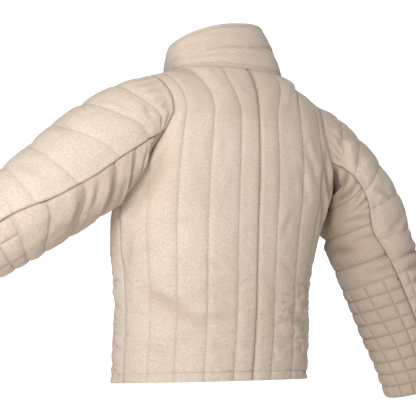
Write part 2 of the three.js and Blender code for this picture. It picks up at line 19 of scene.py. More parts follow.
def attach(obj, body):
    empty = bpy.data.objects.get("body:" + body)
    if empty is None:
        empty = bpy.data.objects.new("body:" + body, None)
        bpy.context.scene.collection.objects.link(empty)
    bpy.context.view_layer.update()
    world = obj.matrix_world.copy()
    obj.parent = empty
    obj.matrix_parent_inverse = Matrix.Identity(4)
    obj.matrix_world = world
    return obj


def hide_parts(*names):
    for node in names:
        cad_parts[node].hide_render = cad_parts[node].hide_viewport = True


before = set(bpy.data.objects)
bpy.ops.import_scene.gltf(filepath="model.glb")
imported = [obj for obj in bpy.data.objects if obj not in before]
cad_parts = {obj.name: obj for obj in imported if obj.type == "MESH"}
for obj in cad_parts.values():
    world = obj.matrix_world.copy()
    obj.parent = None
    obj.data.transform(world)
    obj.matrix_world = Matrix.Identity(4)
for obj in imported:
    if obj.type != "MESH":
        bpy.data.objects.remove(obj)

log = logging.getLogger("jacket")
MM = 0.001
Array = np.ndarray

HEM = -637.0
HEM_SLANT = 0.027
HEM_BAND = 18.0
CHEST_TOP = -110.0
SEAM_GAP = 0.3
WALL = 4.0
HALF_GIRTH = 600.0
FRONT_LAP = 42.0
LAP = FRONT_LAP / HALF_GIRTH
LAP_OUT = 10.0
LAP_UP = 6.0
SIDE_SEAM = 0.495
BACK_STITCHES = (0.075, 0.18, 0.28, 0.378)
FRONT_STITCHES = (0.6, 0.7, 0.81, 0.91)
ARMHOLE_BACK = 0.325
ARMHOLE_FRONT = 0.665
FULL_SECTION = 2 / 7
ARMPIT_PEAK = 0.1
TABLE_STEPS = 20
TOUCHING = 1e-9


class Side(Enum):
    """The wearer's side that a piece is on, with the sign of its x."""

    LEFT = 1
    RIGHT = -1


@dataclass(frozen=True)
class BodySection:
    """One level section of the body: half widths, depths, the middle's place and the corners' exponent."""

    z: float
    left: float
    right: float
    back: float
    front: float
    x: float
    y: float
    square: float


@dataclass(frozen=True)
class ArmholeRow:
    """A place on the armhole's cut under the arm: a share of the half girth and its height."""

    share: float
    z: float


@dataclass(frozen=True)
class SleeveStation:
    """A place on a sleeve's middle line, with the radius over the arm, under it and across it."""

    x: float
    y: float
    z: float
    over: float
    under: float
    across: float


BODY_SECTIONS = (
    BodySection(HEM, 208, 211, 160, 158, 14, -38, 2.2),
    BodySection(-545, 208, 208, 166, 158, 13, -33, 2.2),
    BodySection(-450, 214, 206, 166, 156, 12, -27, 2.2),
    BodySection(-340, 234, 225, 152, 152, 8, -14, 2.3),
    BodySection(-240, 240, 246, 137, 148, 2, -2, 2.5),
    BodySection(-170, 228, 238, 133, 142, 0, 0, 2.8),
    BodySection(-110, 212, 225, 131, 132, 0, 0, 3.0),
)
ARMHOLE_CUT = (
    ArmholeRow(0.325, -110), ArmholeRow(0.345, -146), ArmholeRow(0.38, -184), ArmholeRow(0.43, -212),
    ArmholeRow(0.495, -222), ArmholeRow(0.56, -212), ArmholeRow(0.61, -184), ArmholeRow(0.645, -146),
    ArmholeRow(0.665, -110),
)
SLEEVE_STATIONS = {
    Side.LEFT: (
        SleeveStation(206, 10, -120, 100, 104, 96), SleeveStation(262, 2, -156, 98, 110, 98),
        SleeveStation(330, -12, -207, 93, 108, 98), SleeveStation(390, -26, -258, 87, 102, 95),
        SleeveStation(446, -43, -304, 81, 96, 92), SleeveStation(512, -80, -358, 75, 89, 86),
        SleeveStation(590, -130, -420, 69, 78, 76), SleeveStation(662, -178, -478, 60, 60, 60),
    ),
    Side.RIGHT: (
        SleeveStation(-222, 10, -130, 98, 84, 92), SleeveStation(-274, 18, -186, 100, 86, 94),
        SleeveStation(-326, 26, -268, 102, 86, 94), SleeveStation(-358, 36, -348, 96, 86, 92),
        SleeveStation(-388, 44, -426, 90, 86, 90), SleeveStation(-414, 50, -504, 82, 79, 82),
        SleeveStation(-440, 54, -582, 71, 71, 70), SleeveStation(-462, 56, -656, 61, 63, 62),
    ),
}
LEAVE_FALL = {Side.LEFT: -0.35, Side.RIGHT: -0.05}
SHOULDER_POINTS = {Side.LEFT: (192.0, 8.0, -20.0), Side.RIGHT: (-216.0, 4.0, -36.0)}


def lerp(a: Array | float, b: Array | float, t: Array | float) -> Array | float:
    """The value a share t of the way from a to b."""
    return a + (b - a) * t


def smoothstep(x: Array | float, low: float, high: float) -> Array:
    """0 below low and 1 above high, with an even ease between them."""
    t = np.clip((np.asarray(x, float) - low) / (high - low), 0.0, 1.0)
    return t * t * (3.0 - 2.0 * t)


def bell(off: Array, wide: float) -> Array:
    """1 in the middle, falling softly away to either side over a width."""
    return np.exp(-((off / wide) ** 2))


def under_arm(share: Array) -> Array:
    """Whether columns end at the armhole's cut, under the arm."""
    return (share > ARMHOLE_BACK + TOUCHING) & (share < ARMHOLE_FRONT - TOUCHING)


def signed_power(value: Array, power: Array | float) -> Array:
    """The value's size to a power, with its sign kept."""
    return np.sign(value) * np.abs(value) ** power


def unit(vectors: Array) -> Array:
    """Rows of vectors, each made one long."""
    return vectors / np.maximum(np.linalg.norm(vectors, axis=-1, keepdims=True), 1e-12)


def stack(x: Array | float, y: Array | float, z: Array | float) -> Array:
    """Three columns of numbers as rows of points."""
    return np.stack(np.broadcast_arrays(x, y, z), axis=-1).astype(float)


def hermite(a: Array, leave: Array, b: Array, arrive: Array, t: Array) -> Array:
    """A smooth way from a to b that starts and ends in given directions.

    Args:
        a: where it starts.
        leave: how it leaves a.
        b: where it ends.
        arrive: how it arrives at b.
        t: the share of the way, from 0 to 1.

    Returns:
        The points or values at t.
    """
    t2, t3 = t * t, t * t * t
    return (2 * t3 - 3 * t2 + 1) * a + (t3 - 2 * t2 + t) * leave + (3 * t2 - 2 * t3) * b + (t3 - t2) * arrive


@dataclass(frozen=True)
class Track:
    """A smooth curve through one column of a table."""

    knots: tuple[float, ...]
    values: tuple[float, ...]

    @classmethod
    def of(cls, rows: Sequence[object], by: str, name: str) -> "Track":
        """The curve of the column name against the column by."""
        return cls(tuple(getattr(row, by) for row in rows), tuple(getattr(row, name) for row in rows))

    def at(self, place: Array | float) -> Array:
        """The curve's values at some places.

        Args:
            place: places along the knots; past either end the curve keeps its end value.

        Returns:
            The values there.
        """
        knots, values = np.asarray(self.knots, float), np.asarray(self.values, float)
        place = np.asarray(place, float)
        i = np.clip(np.searchsorted(knots, place, side="left") - 1, 0, len(knots) - 2)
        before, after = np.maximum(i - 1, 0), np.minimum(i + 2, len(knots) - 1)
        width = knots[i + 1] - knots[i]
        leave = (values[i + 1] - values[before]) / (knots[i + 1] - knots[before]) * width
        arrive = (values[after] - values[i]) / (knots[after] - knots[i]) * width
        t = np.clip((place - knots[i]) / width, 0.0, 1.0)
        return hermite(values[i], leave, values[i + 1], arrive, t)


def outward(surface: Callable[[Array, Array], Array], round_: Array, up: Array, side: Side,
            round_step: float = 1e-3) -> Array:
    """The outward directions of a surface.

    Args:
        surface: gives points for places round it and places along it.
        round_: the places round it.
        up: the places along it.
        side: the side of the body, which says which way is out.
        round_step: how far to either side the slope round it is taken.

    Returns:
        One direction for each place.
    """
    up_step = 1e-3
    across = surface(round_ + round_step, up) - surface(round_ - round_step, up)
    rising = surface(round_, up + up_step) - surface(round_, up - up_step)
    return unit(np.cross(rising, across)) * side.value


@dataclass(frozen=True)
class BodyForm:
    """One half of the body's surface: a share of the half girth from the centre back, and a level up it."""

    side: Side
    neck_left: float = 124.0
    neck_right: float = 133.0
    neck_back: float = 86.0
    neck_front: float = 98.0
    neck_square: float = 2.2
    neck_back_z: float = 6.0
    neck_front_z: float = -52.0
    side_of_neck: float = 88.0
    share_back: float = BACK_STITCHES[1]
    share_front: float = FRONT_STITCHES[2]
    steps: int = 60

    def section_point(self, z: Array, share: Array) -> Array:
        """Points of the level sections; past either centre line they go on on the other side."""
        heights, which = np.unique(z, return_inverse=True)
        which = which.reshape(np.shape(z))
        names = (self.side.name.lower(), "back", "front", "x", "y", "square")
        half, back, front, x, y, square = (
            Track.of(BODY_SECTIONS, "z", name).at(heights)[:, None] for name in names)
        angle = np.linspace(0.0, math.pi, self.steps + 1)
        depth = np.where(np.cos(angle) > 0, back, front)
        across = x + self.side.value * half * signed_power(np.sin(angle), 2 / square)
        along = y + depth * signed_power(np.cos(angle), 2 / square)
        steps = np.hypot(np.diff(across, axis=-1), np.diff(along, axis=-1))
        lengths = np.concatenate([np.zeros_like(steps[:, :1]), np.cumsum(steps, axis=-1)], axis=-1)
        across, along, lengths, x = across[which], along[which], lengths[which], x[which]
        turned = np.where(share < 0, -share, np.where(share > 1, 2 - share, share))
        wanted = (turned * lengths[..., -1])[..., None]
        i = np.clip((lengths < wanted).sum(axis=-1), 1, self.steps)[..., None]

        def pick(rows: Array, at: Array) -> Array:
            """One value of each row."""
            return np.take_along_axis(rows, at, axis=-1)[..., 0]

        t = (wanted[..., 0] - pick(lengths, i - 1)) / (pick(lengths, i) - pick(lengths, i - 1))
        px = lerp(pick(across, i - 1), pick(across, i), t)
        py = lerp(pick(along, i - 1), pick(along, i), t)
        return stack(np.where(turned != share, 2 * x[..., 0] - px, px), py, z)

    def neck_point(self, degrees: Array) -> Array:
        """Points of the neckline: the centre back is at 0 degrees, the side at 90, the front at 180."""
        angle, power = np.radians(degrees), 2 / self.neck_square
        depth = np.where(np.cos(angle) > 0, self.neck_back, self.neck_front)
        half = self.neck_left if self.side is Side.LEFT else self.neck_right
        fall_back = (1 - np.cos(angle)) * -self.neck_back_z + self.neck_back_z
        fall_front = lerp(0.0, self.neck_front_z, smoothstep(-np.cos(angle), 0, 1))
        return stack(self.side.value * half * signed_power(np.sin(angle), power),
                     depth * signed_power(np.cos(angle), power),
                     np.where(degrees < 90, fall_back, fall_front))

    def neck_degrees(self, share: Array) -> Array:
        """How far round the neckline each column ends."""
        is_back = share < SIDE_SEAM
        part = np.where(is_back, share / self.share_back, (1 - share) / (1 - self.share_front))
        size = np.abs(part)
        turned = np.sign(part) * lerp(size, np.arcsin(np.minimum(size, 1)) / (math.pi / 2), 0.8)
        return np.where(is_back, self.side_of_neck * turned, 180 - (180 - self.side_of_neck) * turned)

    def column_end(self, share: Array) -> Array:
        """Where each column ends: on the neckline or on the shoulder seam."""
        on_neck = self.neck_point(self.neck_degrees(np.where(
            share < SIDE_SEAM, np.minimum(share, self.share_back), np.maximum(share, self.share_front))))
        start = np.where(share < SIDE_SEAM, self.share_back, self.share_front)
        stop = np.where(share < SIDE_SEAM, ARMHOLE_BACK, ARMHOLE_FRONT)
        side_of_neck = self.neck_point(np.full(np.shape(share), self.side_of_neck))
        t = ((share - start) / (stop - start))[..., None]
        on_shoulder = lerp(side_of_neck, np.array(SHOULDER_POINTS[self.side]), t)
        is_neck = (share <= self.share_back) | (share >= self.share_front)
        return np.where(is_neck[..., None], on_neck, on_shoulder)

    def column_end_way(self, share: Array) -> Array:
        """The way each column runs where it ends: level at the shoulder seam, rising towards the collar."""
        is_back = share < SIDE_SEAM
        to_centre = np.where(is_back, 1 - np.abs(share) / self.share_back,
                             1 - np.abs(1 - share) / (1 - self.share_front))
        end = self.column_end(share)
        inwards = unit(stack(-end[..., 0], -end[..., 1], 0.0))
        level = lerp(stack(0.0, np.where(is_back, -1.0, 1.0), 0.0), inwards,
                     smoothstep(to_centre, 0, 1)[..., None])
        level[..., 2] = np.where(is_back, 0.95, 0.8) * np.clip(to_centre, 0, 1)
        return unit(level)

    def point(self, share: Array, level: Array) -> Array:
        """Points of the surface: level 0 is the hem, 1 the top of the chest, 2 the shoulder or neckline."""
        share, level = np.broadcast_arrays(np.asarray(share, float), np.asarray(level, float))
        points = self.section_point(lerp(HEM, CHEST_TOP, np.minimum(level, 1)), share)
        points[..., 2] -= HEM_SLANT * points[..., 0] * (1 - np.minimum(level, 1))
        over = level > 1
        if over.any():
            points[over] = self._over_chest(share[over], level[over])
        return points

    def _over_chest(self, share: Array, level: Array) -> Array:
        """Points of the surface between the top of the chest and the shoulder or neckline."""
        chest = np.full(share.shape, CHEST_TOP)
        start, end = self.section_point(chest, share), self.column_end(share)
        reach = np.linalg.norm(end - start, axis=-1)[..., None]
        leave = unit(start - self.section_point(chest - 2, share)) * reach
        return hermite(start, leave, end, self.column_end_way(share) * reach * 1.15, (level - 1)[..., None])

    def normal(self, share: Array, level: Array) -> Array:
        """The outward directions of the surface."""
        return outward(self.point, share, level, self.side)

    def armhole_level(self, share: Array) -> Array:
        """The level of the armhole's cut under the arm."""
        return (Track.of(ARMHOLE_CUT, "share", "z").at(share) - HEM) / (CHEST_TOP - HEM)

    def lap_move(self, share: Array, level: Array, point: Array) -> Array:
        """How far the outer front stands out where it laps over the other one."""
        lapped = smoothstep(share, 1 - 2.6 * LAP, 1 - 1.3 * LAP) * (self.side is Side.LEFT)
        away = unit(stack(point[..., 0], point[..., 1], 0.0)) * (LAP_OUT * lapped)[..., None]
        away[..., 2] = LAP_UP * lapped * smoothstep(level, 1, 2)
        return away


@dataclass(frozen=True)
class ArmholePlace:
    """A corner of the armhole: a share of the half girth and a level."""

    share: float
    level: float


@dataclass
class SleeveForm:
    """A sleeve's surface: a corner's number on the armhole round it, and a share of its length along it."""

    side: Side
    places: list[ArmholePlace] = field(default_factory=list)

    def __post_init__(self) -> None:
        """Lists the armhole's corners, from the shoulder point down the back and up the front."""
        body = self.body = BodyForm(self.side)
        under = (0.345, 0.368, 0.395, 0.428, 0.461, SIDE_SEAM, 0.53, 0.565, 0.6, 0.624, 0.645)
        self.places = [
            *(ArmholePlace(ARMHOLE_BACK, 2 - j / 5) for j in range(6)),
            *(ArmholePlace(share, float(body.armhole_level(np.array(share)))) for share in under),
            *(ArmholePlace(ARMHOLE_FRONT, 1 + j / 5) for j in range(5)),
        ]
        self.corners = len(self.places)
        places = np.array([(p.share, p.level) for p in self.places])
        points = body.point(places[:, 0], places[:, 1])
        normals = self._body_normal(np.arange(self.corners))
        away = unit(np.cross(np.roll(points, -1, axis=0) - np.roll(points, 1, axis=0), normals))
        to_centre = points.mean(axis=0) - points
        to_centre[:, 0] += self.side.value * 60
        self.away = away * np.sign((away * to_centre).sum(axis=1))[:, None]
        self.stations = SLEEVE_STATIONS[self.side]
        self.shares = tuple(i / (len(self.stations) - 1) for i in range(len(self.stations)))
        self.fine = np.arange(0, self.corners + 0.5 / TABLE_STEPS, 1 / TABLE_STEPS)
        share, level = self._place(self.fine)
        self.sewn = self._body_normal(self.fine)
        low = np.floor(np.mod(self.fine, self.corners)).astype(int)
        t = (np.mod(self.fine, self.corners) - low)[:, None]
        self.ways = unit(lerp(self.away[low % self.corners], self.away[(low + 1) % self.corners], t))
        self.starts = body.point(share, level) + self.sewn * SEAM_GAP * 1.2 + self.ways * SEAM_GAP * 1.2

    def _place(self, corner: Array) -> tuple[Array, Array]:
        """The share of the half girth and the level at each corner's number."""
        wrapped = np.mod(corner, self.corners)
        shares = [p.share for p in self.places] + [ARMHOLE_FRONT]
        levels = [p.level for p in self.places] + [2.0]
        numbers = np.arange(self.corners + 1)
        share = np.interp(wrapped, numbers, shares)
        level = np.interp(wrapped, numbers, levels)
        return share, np.where(under_arm(share), self.body.armhole_level(share), level)

    def _body_normal(self, corner: Array) -> Array:
        """The body's outward direction at the armhole."""
        share, level = self._place(np.asarray(corner, float))
        return self.body.normal(share, np.minimum(level, 1.999))

    def _station(self, name: str, share: Array) -> Array:
        """One column of the stations at shares of the sleeve's length."""
        return Track(self.shares, tuple(getattr(row, name) for row in self.stations)).at(share)

    def middle(self, share: Array) -> Array:
        """Points of the sleeve's middle line."""
        return stack(self._station("x", share), self._station("y", share), self._station("z", share))

    def ring(self, corner: Array, share: Array) -> Array:
        """Points of the sleeve's free sections, past the armhole's own form."""
        way = unit(self.middle(np.minimum(share + 0.01, 1)) - self.middle(share - 0.01))
        top = unit(stack(0.0, 0.0, 1.0) - way * way[..., 2:3])
        back = np.cross(top, way) * self.side.value
        if self.side is Side.LEFT:
            turn = 0.6 * smoothstep(share, 0, 0.12) * (1 - smoothstep(share, 0.3, 0.62))
        else:
            turn = -smoothstep(share, 0, FULL_SECTION) - 0.9 * smoothstep(share, 0.3, 0.85)
        angle = 2 * math.pi * (corner + turn) / self.corners
        reach = np.where(np.cos(angle) > 0, self._station("over", share), self._station("under", share))
        across = self._station("across", share)
        return (self.middle(share) + top * (np.cos(angle) * reach)[..., None]
                + back * (np.sin(angle) * across)[..., None])

    def _tabled(self, rows: Array, corner: Array) -> Array:
        """Values tabled round the armhole, at corners' numbers."""
        place = np.mod(corner, self.corners)
        return np.stack([np.interp(place, self.fine, rows[:, k]) for k in range(3)], axis=-1)

    def point(self, corner: Array, share: Array) -> Array:
        """Points of the sleeve's surface."""
        corner, share = np.broadcast_arrays(np.asarray(corner, float), np.asarray(share, float))
        start, away = self._tabled(self.starts, corner), self._tabled(self.ways, corner)
        end = self.ring(corner, np.full(share.shape, FULL_SECTION))
        is_over = np.maximum(0.0, np.cos(2 * math.pi * corner / self.corners))[..., None]
        reach = np.linalg.norm(end - start, axis=-1)[..., None]
        leave = unit(np.array([self.side.value, 0.0, LEAVE_FALL[self.side]]) + away * is_over)
        arrive = unit(self.ring(corner, np.full(share.shape, FULL_SECTION + 0.01)) - end)
        near = hermite(start, leave * reach * 1.1, end, arrive * reach, (share / FULL_SECTION)[..., None])
        fold = bell(np.mod(corner, self.corners) - 8, 2.4) * smoothstep(share, 0, ARMPIT_PEAK)
        fold = fold * (1 - smoothstep(share, ARMPIT_PEAK, FULL_SECTION))
        near = near + fold[..., None] * np.array([-8.0 * self.side.value, 18.0, -4.0])
        return np.where((share >= FULL_SECTION)[..., None], self.ring(corner, share), near)

    def normal(self, corner: Array, share: Array) -> Array:
        """The outward directions, which are the body's own where the sleeve is sewn on."""
        free = outward(self.point, corner, np.clip(share, 0.004, 0.995), self.side, 0.5)
        sewn = self._tabled(self.sewn, np.asarray(corner, float))
        return unit(lerp(sewn, free, smoothstep(share, 0, 0.033)[..., None]))

    def half_gap(self, share: Array) -> Array:
        """Half a seam's gap, in corners."""
        return SEAM_GAP * self.corners / (4 * math.pi * self._station("across", share))


@dataclass(frozen=True)
class CollarForm:
    """The collar's surface: a share of the half girth as the panels count it, and a share of its height."""

    height: float = 88.0
    rise: float = 27.0
    turn: float = 56.0
    top: float = 0.846
    lean_x: float = 12.0
    lean_y: float = -26.0

    def point(self, share: Array, up: Array, lift: Array | float) -> Array:
        """Points of the collar, the right half's shares being counted with a minus sign."""
        share, up = np.broadcast_arrays(np.asarray(share, float), np.asarray(up, float))
        halves = []
        for side in (Side.LEFT, Side.RIGHT):
            body, size = BodyForm(side), np.abs(share)
            degrees = body.neck_degrees(size)
            base = body.neck_point(degrees)
            way = unit(stack(base[..., 0], base[..., 1], 0.0))
            tall = self.height + self.rise * np.cos(np.radians(side.value * degrees + self.turn))
            shrink = lerp(1.0, self.top, np.maximum(up, 0) ** 1.4)
            rise = stack(base[..., 0] * (shrink - 1) + self.lean_x * up,
                         base[..., 1] * (shrink - 1) + self.lean_y * up, 0.7 + tall * up)
            lapped = body.lap_move(size, np.full(size.shape, 2.0), base)
            halves.append(base + lapped + rise + way * np.broadcast_to(lift, size.shape)[..., None])
        return np.where((share >= 0)[..., None], halves[0], halves[1])


# ---- Creases and unevenness ----


@dataclass(frozen=True)
class Crease:
    """A fold of the cloth from one place of a piece's flat map to another, `deep` being positive inwards."""

    u: float
    v: float
    to_u: float
    to_v: float
    wide: float
    deep: float


ROLL_HIGH = 0.45
ROLL_OFF = 1.7


def crease_lift(creases: Sequence[Crease], u: Array, v: Array) -> Array:
    """How far the creases move the surface: a trough along each, with a soft roll along its upper side.

    Args:
        creases: the creases of the piece.
        u: places across the flat map.
        v: places up the flat map.

    Returns:
        The moves along the outward direction, negative in a trough.
    """
    lift = np.zeros(np.shape(u))
    for crease in creases:
        du, dv = crease.to_u - crease.u, crease.to_v - crease.v
        length = math.hypot(du, dv)
        t = np.clip(((u - crease.u) * du + (v - crease.v) * dv) / length**2, 0, 1)
        off = np.hypot(u - crease.u - t * du, v - crease.v - t * dv)
        side = (du * (v - crease.v) - dv * (u - crease.u)) / length
        fade = np.sin(math.pi * lerp(0.12, 0.88, t))
        trough = bell(off, crease.wide)
        is_upper = side * math.copysign(1, du) > 0
        roll = ROLL_HIGH * bell(off - ROLL_OFF * crease.wide, crease.wide) * is_upper
        lift -= crease.deep * fade * (trough - roll)
    return lift


@dataclass(frozen=True)
class SoftNoise:
    """Smooth unevenness from a seeded lattice, whose cells have a width and a height on the flat map."""

    seed: int
    across: float
    up: float

    def at(self, u: Array, v: Array) -> Array:
        """The unevenness at places of a flat map, between about -1 and 1."""
        lattice = np.random.default_rng(self.seed).uniform(-1, 1, (64, 64))
        x, y = np.asarray(u) / self.across, np.asarray(v) / self.up
        i, j = np.floor(x).astype(int), np.floor(y).astype(int)
        s, t = smoothstep(x - i, 0, 1), smoothstep(y - j, 0, 1)
        low = lerp(lattice[i % 64, j % 64], lattice[(i + 1) % 64, j % 64], s)
        high = lerp(lattice[i % 64, (j + 1) % 64], lattice[(i + 1) % 64, (j + 1) % 64], s)
        return lerp(low, high, t)

    def ridged(self, u: Array, v: Array) -> Array:
        """The unevenness as narrow troughs between broad rolls, between about -1 and 0.3."""
        return 0.3 - 1.3 * bell(self.at(u, v), 0.16)


@dataclass(frozen=True)
class Quilting:
    """How the padding stands between rows of stitching."""

    crown: float = 4.0
    shoulder: float = 6.0
    pucker: float = 0.45
    pucker_pitch: float = 9.0

    def lift(self, off: Array, width: Array | float, along: Array, u: Array) -> Array:
        """The height of the padding.

        Args:
            off: the distance to the nearest row of stitching.
            width: the distance between the two rows on either side.
            along: the place along the row, for the puckers.
            u: the place across, for the puckers.

        Returns:
            The height over the row of stitching.
        """
        round_ = np.sin(math.pi * np.clip(off / width, 0, 1))
        body = self.crown * (0.72 * (1 - np.exp(-off / self.shoulder)) + 0.28 * round_)
        ripple = SoftNoise(11, 26, self.pucker_pitch).at(u, along) + 0.6 * SoftNoise(12, 14, 5.0).at(u, along)
        return body + self.pucker * ripple * np.exp(-off / 11) * (1 - np.exp(-off / 1.5))


def between(place: Array, stops: Array) -> tuple[Array, Array]:
    """The distances of places to the nearest stop, and between the two stops on either side.

    Args:
        place: places along the stops.
        stops: the stops, in order; a row of them for each place, or one row for all.

    Returns:
        The distances to the nearest stop and the widths of the gaps between stops.
    """
    stops = np.broadcast_to(stops, (*np.shape(place), np.shape(stops)[-1]))
    i = np.clip((stops <= np.asarray(place)[..., None]).sum(axis=-1) - 1, 0, stops.shape[-1] - 2)[..., None]
    low = np.take_along_axis(stops, i, -1)[..., 0]
    high = np.take_along_axis(stops, i + 1, -1)[..., 0]
    return np.maximum(np.minimum(place - low, high - place), 0), high - low


def clustered(stops: Sequence[float], scale: float, spacing: float) -> Array:
    """Places between stops, drawn close together beside each stop so that its groove is sharp.

    Args:
        stops: the rows of stitching and the edges, in order.
        scale: millimetres for one unit of the places.
        spacing: the widest step, in millimetres.

    Returns:
        The places, the stops among them.
    """
    near = np.array([0.0, 1.1, 2.6, 4.8])
    places: list[float] = []
    for a, b in zip(stops, stops[1:]):
        length = (b - a) * scale
        if length < 14:
            offsets = np.linspace(0, length, max(2, round(length / 2.2) + 1))
        else:
            count = max(1, round((length - 2 * near[-1]) / spacing))
            middle = np.linspace(near[-1], length - near[-1], count + 1)
            offsets = np.concatenate([near[:-1], middle, length - near[-2::-1]])
        places += [a + float(o) / scale for o in offsets[:-1]]
    return np.array([*places, stops[-1]])


# ---- Meshes ----


def link_new(name: str, data: bpy.types.ID) -> bpy.types.Object:
    """A new object in the scene for a mesh, a lamp or a camera."""
    obj = bpy.data.objects.new(name, data)
    bpy.context.scene.collection.objects.link(obj)
    return obj


def mesh_object(name: str, bm: bmesh.types.BMesh) -> bpy.types.Object:
    """A new mesh object in the scene, made from a bmesh, which is freed."""
    mesh = bpy.data.meshes.new(name)
    bm.to_mesh(mesh)
    bm.free()
    return link_new(name, mesh)


@dataclass
class Shell:
    """A wall of cloth made from a grid of places, with the quilting on its outer face."""

    name: str
    columns: Array
    rows: Array
    outer: Callable[[Array, Array], Array]
    inner: Callable[[Array, Array], Array]
    flat: Callable[[Array, Array], Array]
    groove: Callable[[Array, Array], Array]
    holds: Callable[[Array, Array], Array] | None = None

    def build(self) -> bpy.types.Object:
        """Makes the wall: a grid, raised to a slab, with each corner then moved to its place.

        Returns:
            The new object, with the cloth's flat map as its UV map and a groove attribute.
        """
        bm = bmesh.new()
        last = (len(self.columns) - 1, len(self.rows) - 1)
        bmesh.ops.create_grid(bm, x_segments=last[0], y_segments=last[1], size=0.5)
        if self.holds is not None:
            centres = np.array([f.calc_center_median() for f in bm.faces])
            i, j = (np.floor((centres[:, k] + 0.5) * last[k]).astype(int) for k in (0, 1))
            loose = [f for f, kept in zip(bm.faces, self.holds(i, j)) if not kept]
            bmesh.ops.delete(bm, geom=loose, context="FACES")
        raised = bmesh.ops.extrude_face_region(bm, geom=bm.faces[:], use_keep_orig=True)
        tops = [v for v in raised["geom"] if isinstance(v, bmesh.types.BMVert)]
        bmesh.ops.translate(bm, vec=(0, 0, 1), verts=tops)
        places = np.array([v.co for v in bm.verts])
        i, j = (np.rint((places[:, k] + 0.5) * last[k]).astype(int) for k in (0, 1))
        across, up = self.columns[i], self.rows[j]
        is_outer = (places[:, 2] > 0.5)[:, None]
        points = np.where(is_outer, self.outer(across, up), self.inner(across, up)) * MM
        for vertex, point in zip(bm.verts, points):
            vertex.co = point
        bmesh.ops.recalc_face_normals(bm, faces=bm.faces[:])
        for face in bm.faces:
            face.smooth = True
        obj = mesh_object(self.name, bm)
        mesh = obj.data
        corners = np.empty(len(mesh.loops), int)
        mesh.loops.foreach_get("vertex_index", corners)
        chart = mesh.uv_layers.new(name="cloth")
        chart.uv.foreach_set("vector", (self.flat(across, up) * MM)[corners].astype(np.float32).ravel())
        # The groove attribute holds how deep the painted shade is at each corner.
        groove = mesh.attributes.new("groove", "FLOAT", "POINT")
        groove.data.foreach_set("value", np.clip(self.groove(across, up), 0, 1).astype(np.float32))
        return obj


@dataclass(frozen=True)
class Thread:
    """Sewing thread as it lies on the cloth: one stitch's sizes and the pitch of the stitches."""

    long: float = 2.9
    wide: float = 0.8
    high: float = 0.55
    pitch: float = 4.2

    def sew(self, name: str, rows: Sequence[tuple[Array, Array]]) -> bpy.types.Object:
        """Sews rows of stitches as one mesh.

        Args:
            name: the new object's name.
            rows: the points of each row and the cloth's outward directions there.

        Returns:
            The new object.
        """
        centres, ways, normals = [], [], []
        for points, outs in rows:
            steps = np.linalg.norm(np.diff(points, axis=0), axis=1)
            run = np.concatenate([[0], np.cumsum(steps)])
            stops = np.arange(self.pitch / 2, run[-1] - self.pitch / 2, self.pitch)
            if not len(stops):
                continue

            def along(rows_: Array, at: Array, run: Array = run) -> Array:
                """Values of each column at lengths along the row."""
                return np.stack([np.interp(at, run, rows_[:, k]) for k in range(3)], axis=-1)

            centres.append(along(points, stops))
            ways.append(along(points, stops + 1) - along(points, stops - 1))
            normals.append(along(outs, stops))
        centre, way, up = np.concatenate(centres), unit(np.concatenate(ways)), unit(np.concatenate(normals))
        across = unit(np.cross(up, way))
        bm = bmesh.new()
        made = bmesh.ops.create_cube(bm, size=1)
        ends = [v for v in made["verts"] if v.co.z > 0]
        bmesh.ops.scale(bm, vec=(0.75, 0.55, 1), verts=ends)
        while len(bm.verts) < 8 * len(centre):
            bmesh.ops.duplicate(bm, geom=[*bm.verts, *bm.edges, *bm.faces])
        bm.verts.ensure_lookup_table()
        bmesh.ops.delete(bm, geom=bm.verts[8 * len(centre):], context="VERTS")
        local = np.array([v.co for v in bm.verts]) * (self.long, self.wide, self.high)
        k = np.arange(len(local)) // 8
        points = (centre[k] + way[k] * local[:, :1] + across[k] * local[:, 1:2] + np.cross(way, across)[k]
                  * local[:, 2:]) * MM
        for vertex, point in zip(bm.verts, points):
            vertex.co = point
        bmesh.ops.recalc_face_normals(bm, faces=bm.faces[:])
        return mesh_object(name, bm)


# ---- Finishes ----


def new_group(name: str, inputs: Sequence[tuple[str, str, object]],
              outputs: Sequence[tuple[str, str]]) -> bpy.types.ShaderNodeTree:
    """A shader node group with named sockets.

    Args:
        name: the group's name.
        inputs: name, socket type and default of each input.
        outputs: name and socket type of each output.

    Returns:
        The empty group with its input and output nodes.
    """
    group = bpy.data.node_groups.new(name, "ShaderNodeTree")
    for title, kind, default in inputs:
        socket = group.interface.new_socket(title, in_out="INPUT", socket_type=kind)
        socket.default_value = default
    for title, kind in outputs:
        group.interface.new_socket(title, in_out="OUTPUT", socket_type=kind)
    group.nodes.new("NodeGroupInput")
    group.nodes.new("NodeGroupOutput")
    return group


def new_material(name: str) -> tuple[bpy.types.Material, bpy.types.Node]:
    """A new material with nodes, and its main shader."""
    material = bpy.data.materials.new(name)
    material.use_nodes = True
    return material, material.node_tree.nodes["Principled BSDF"]


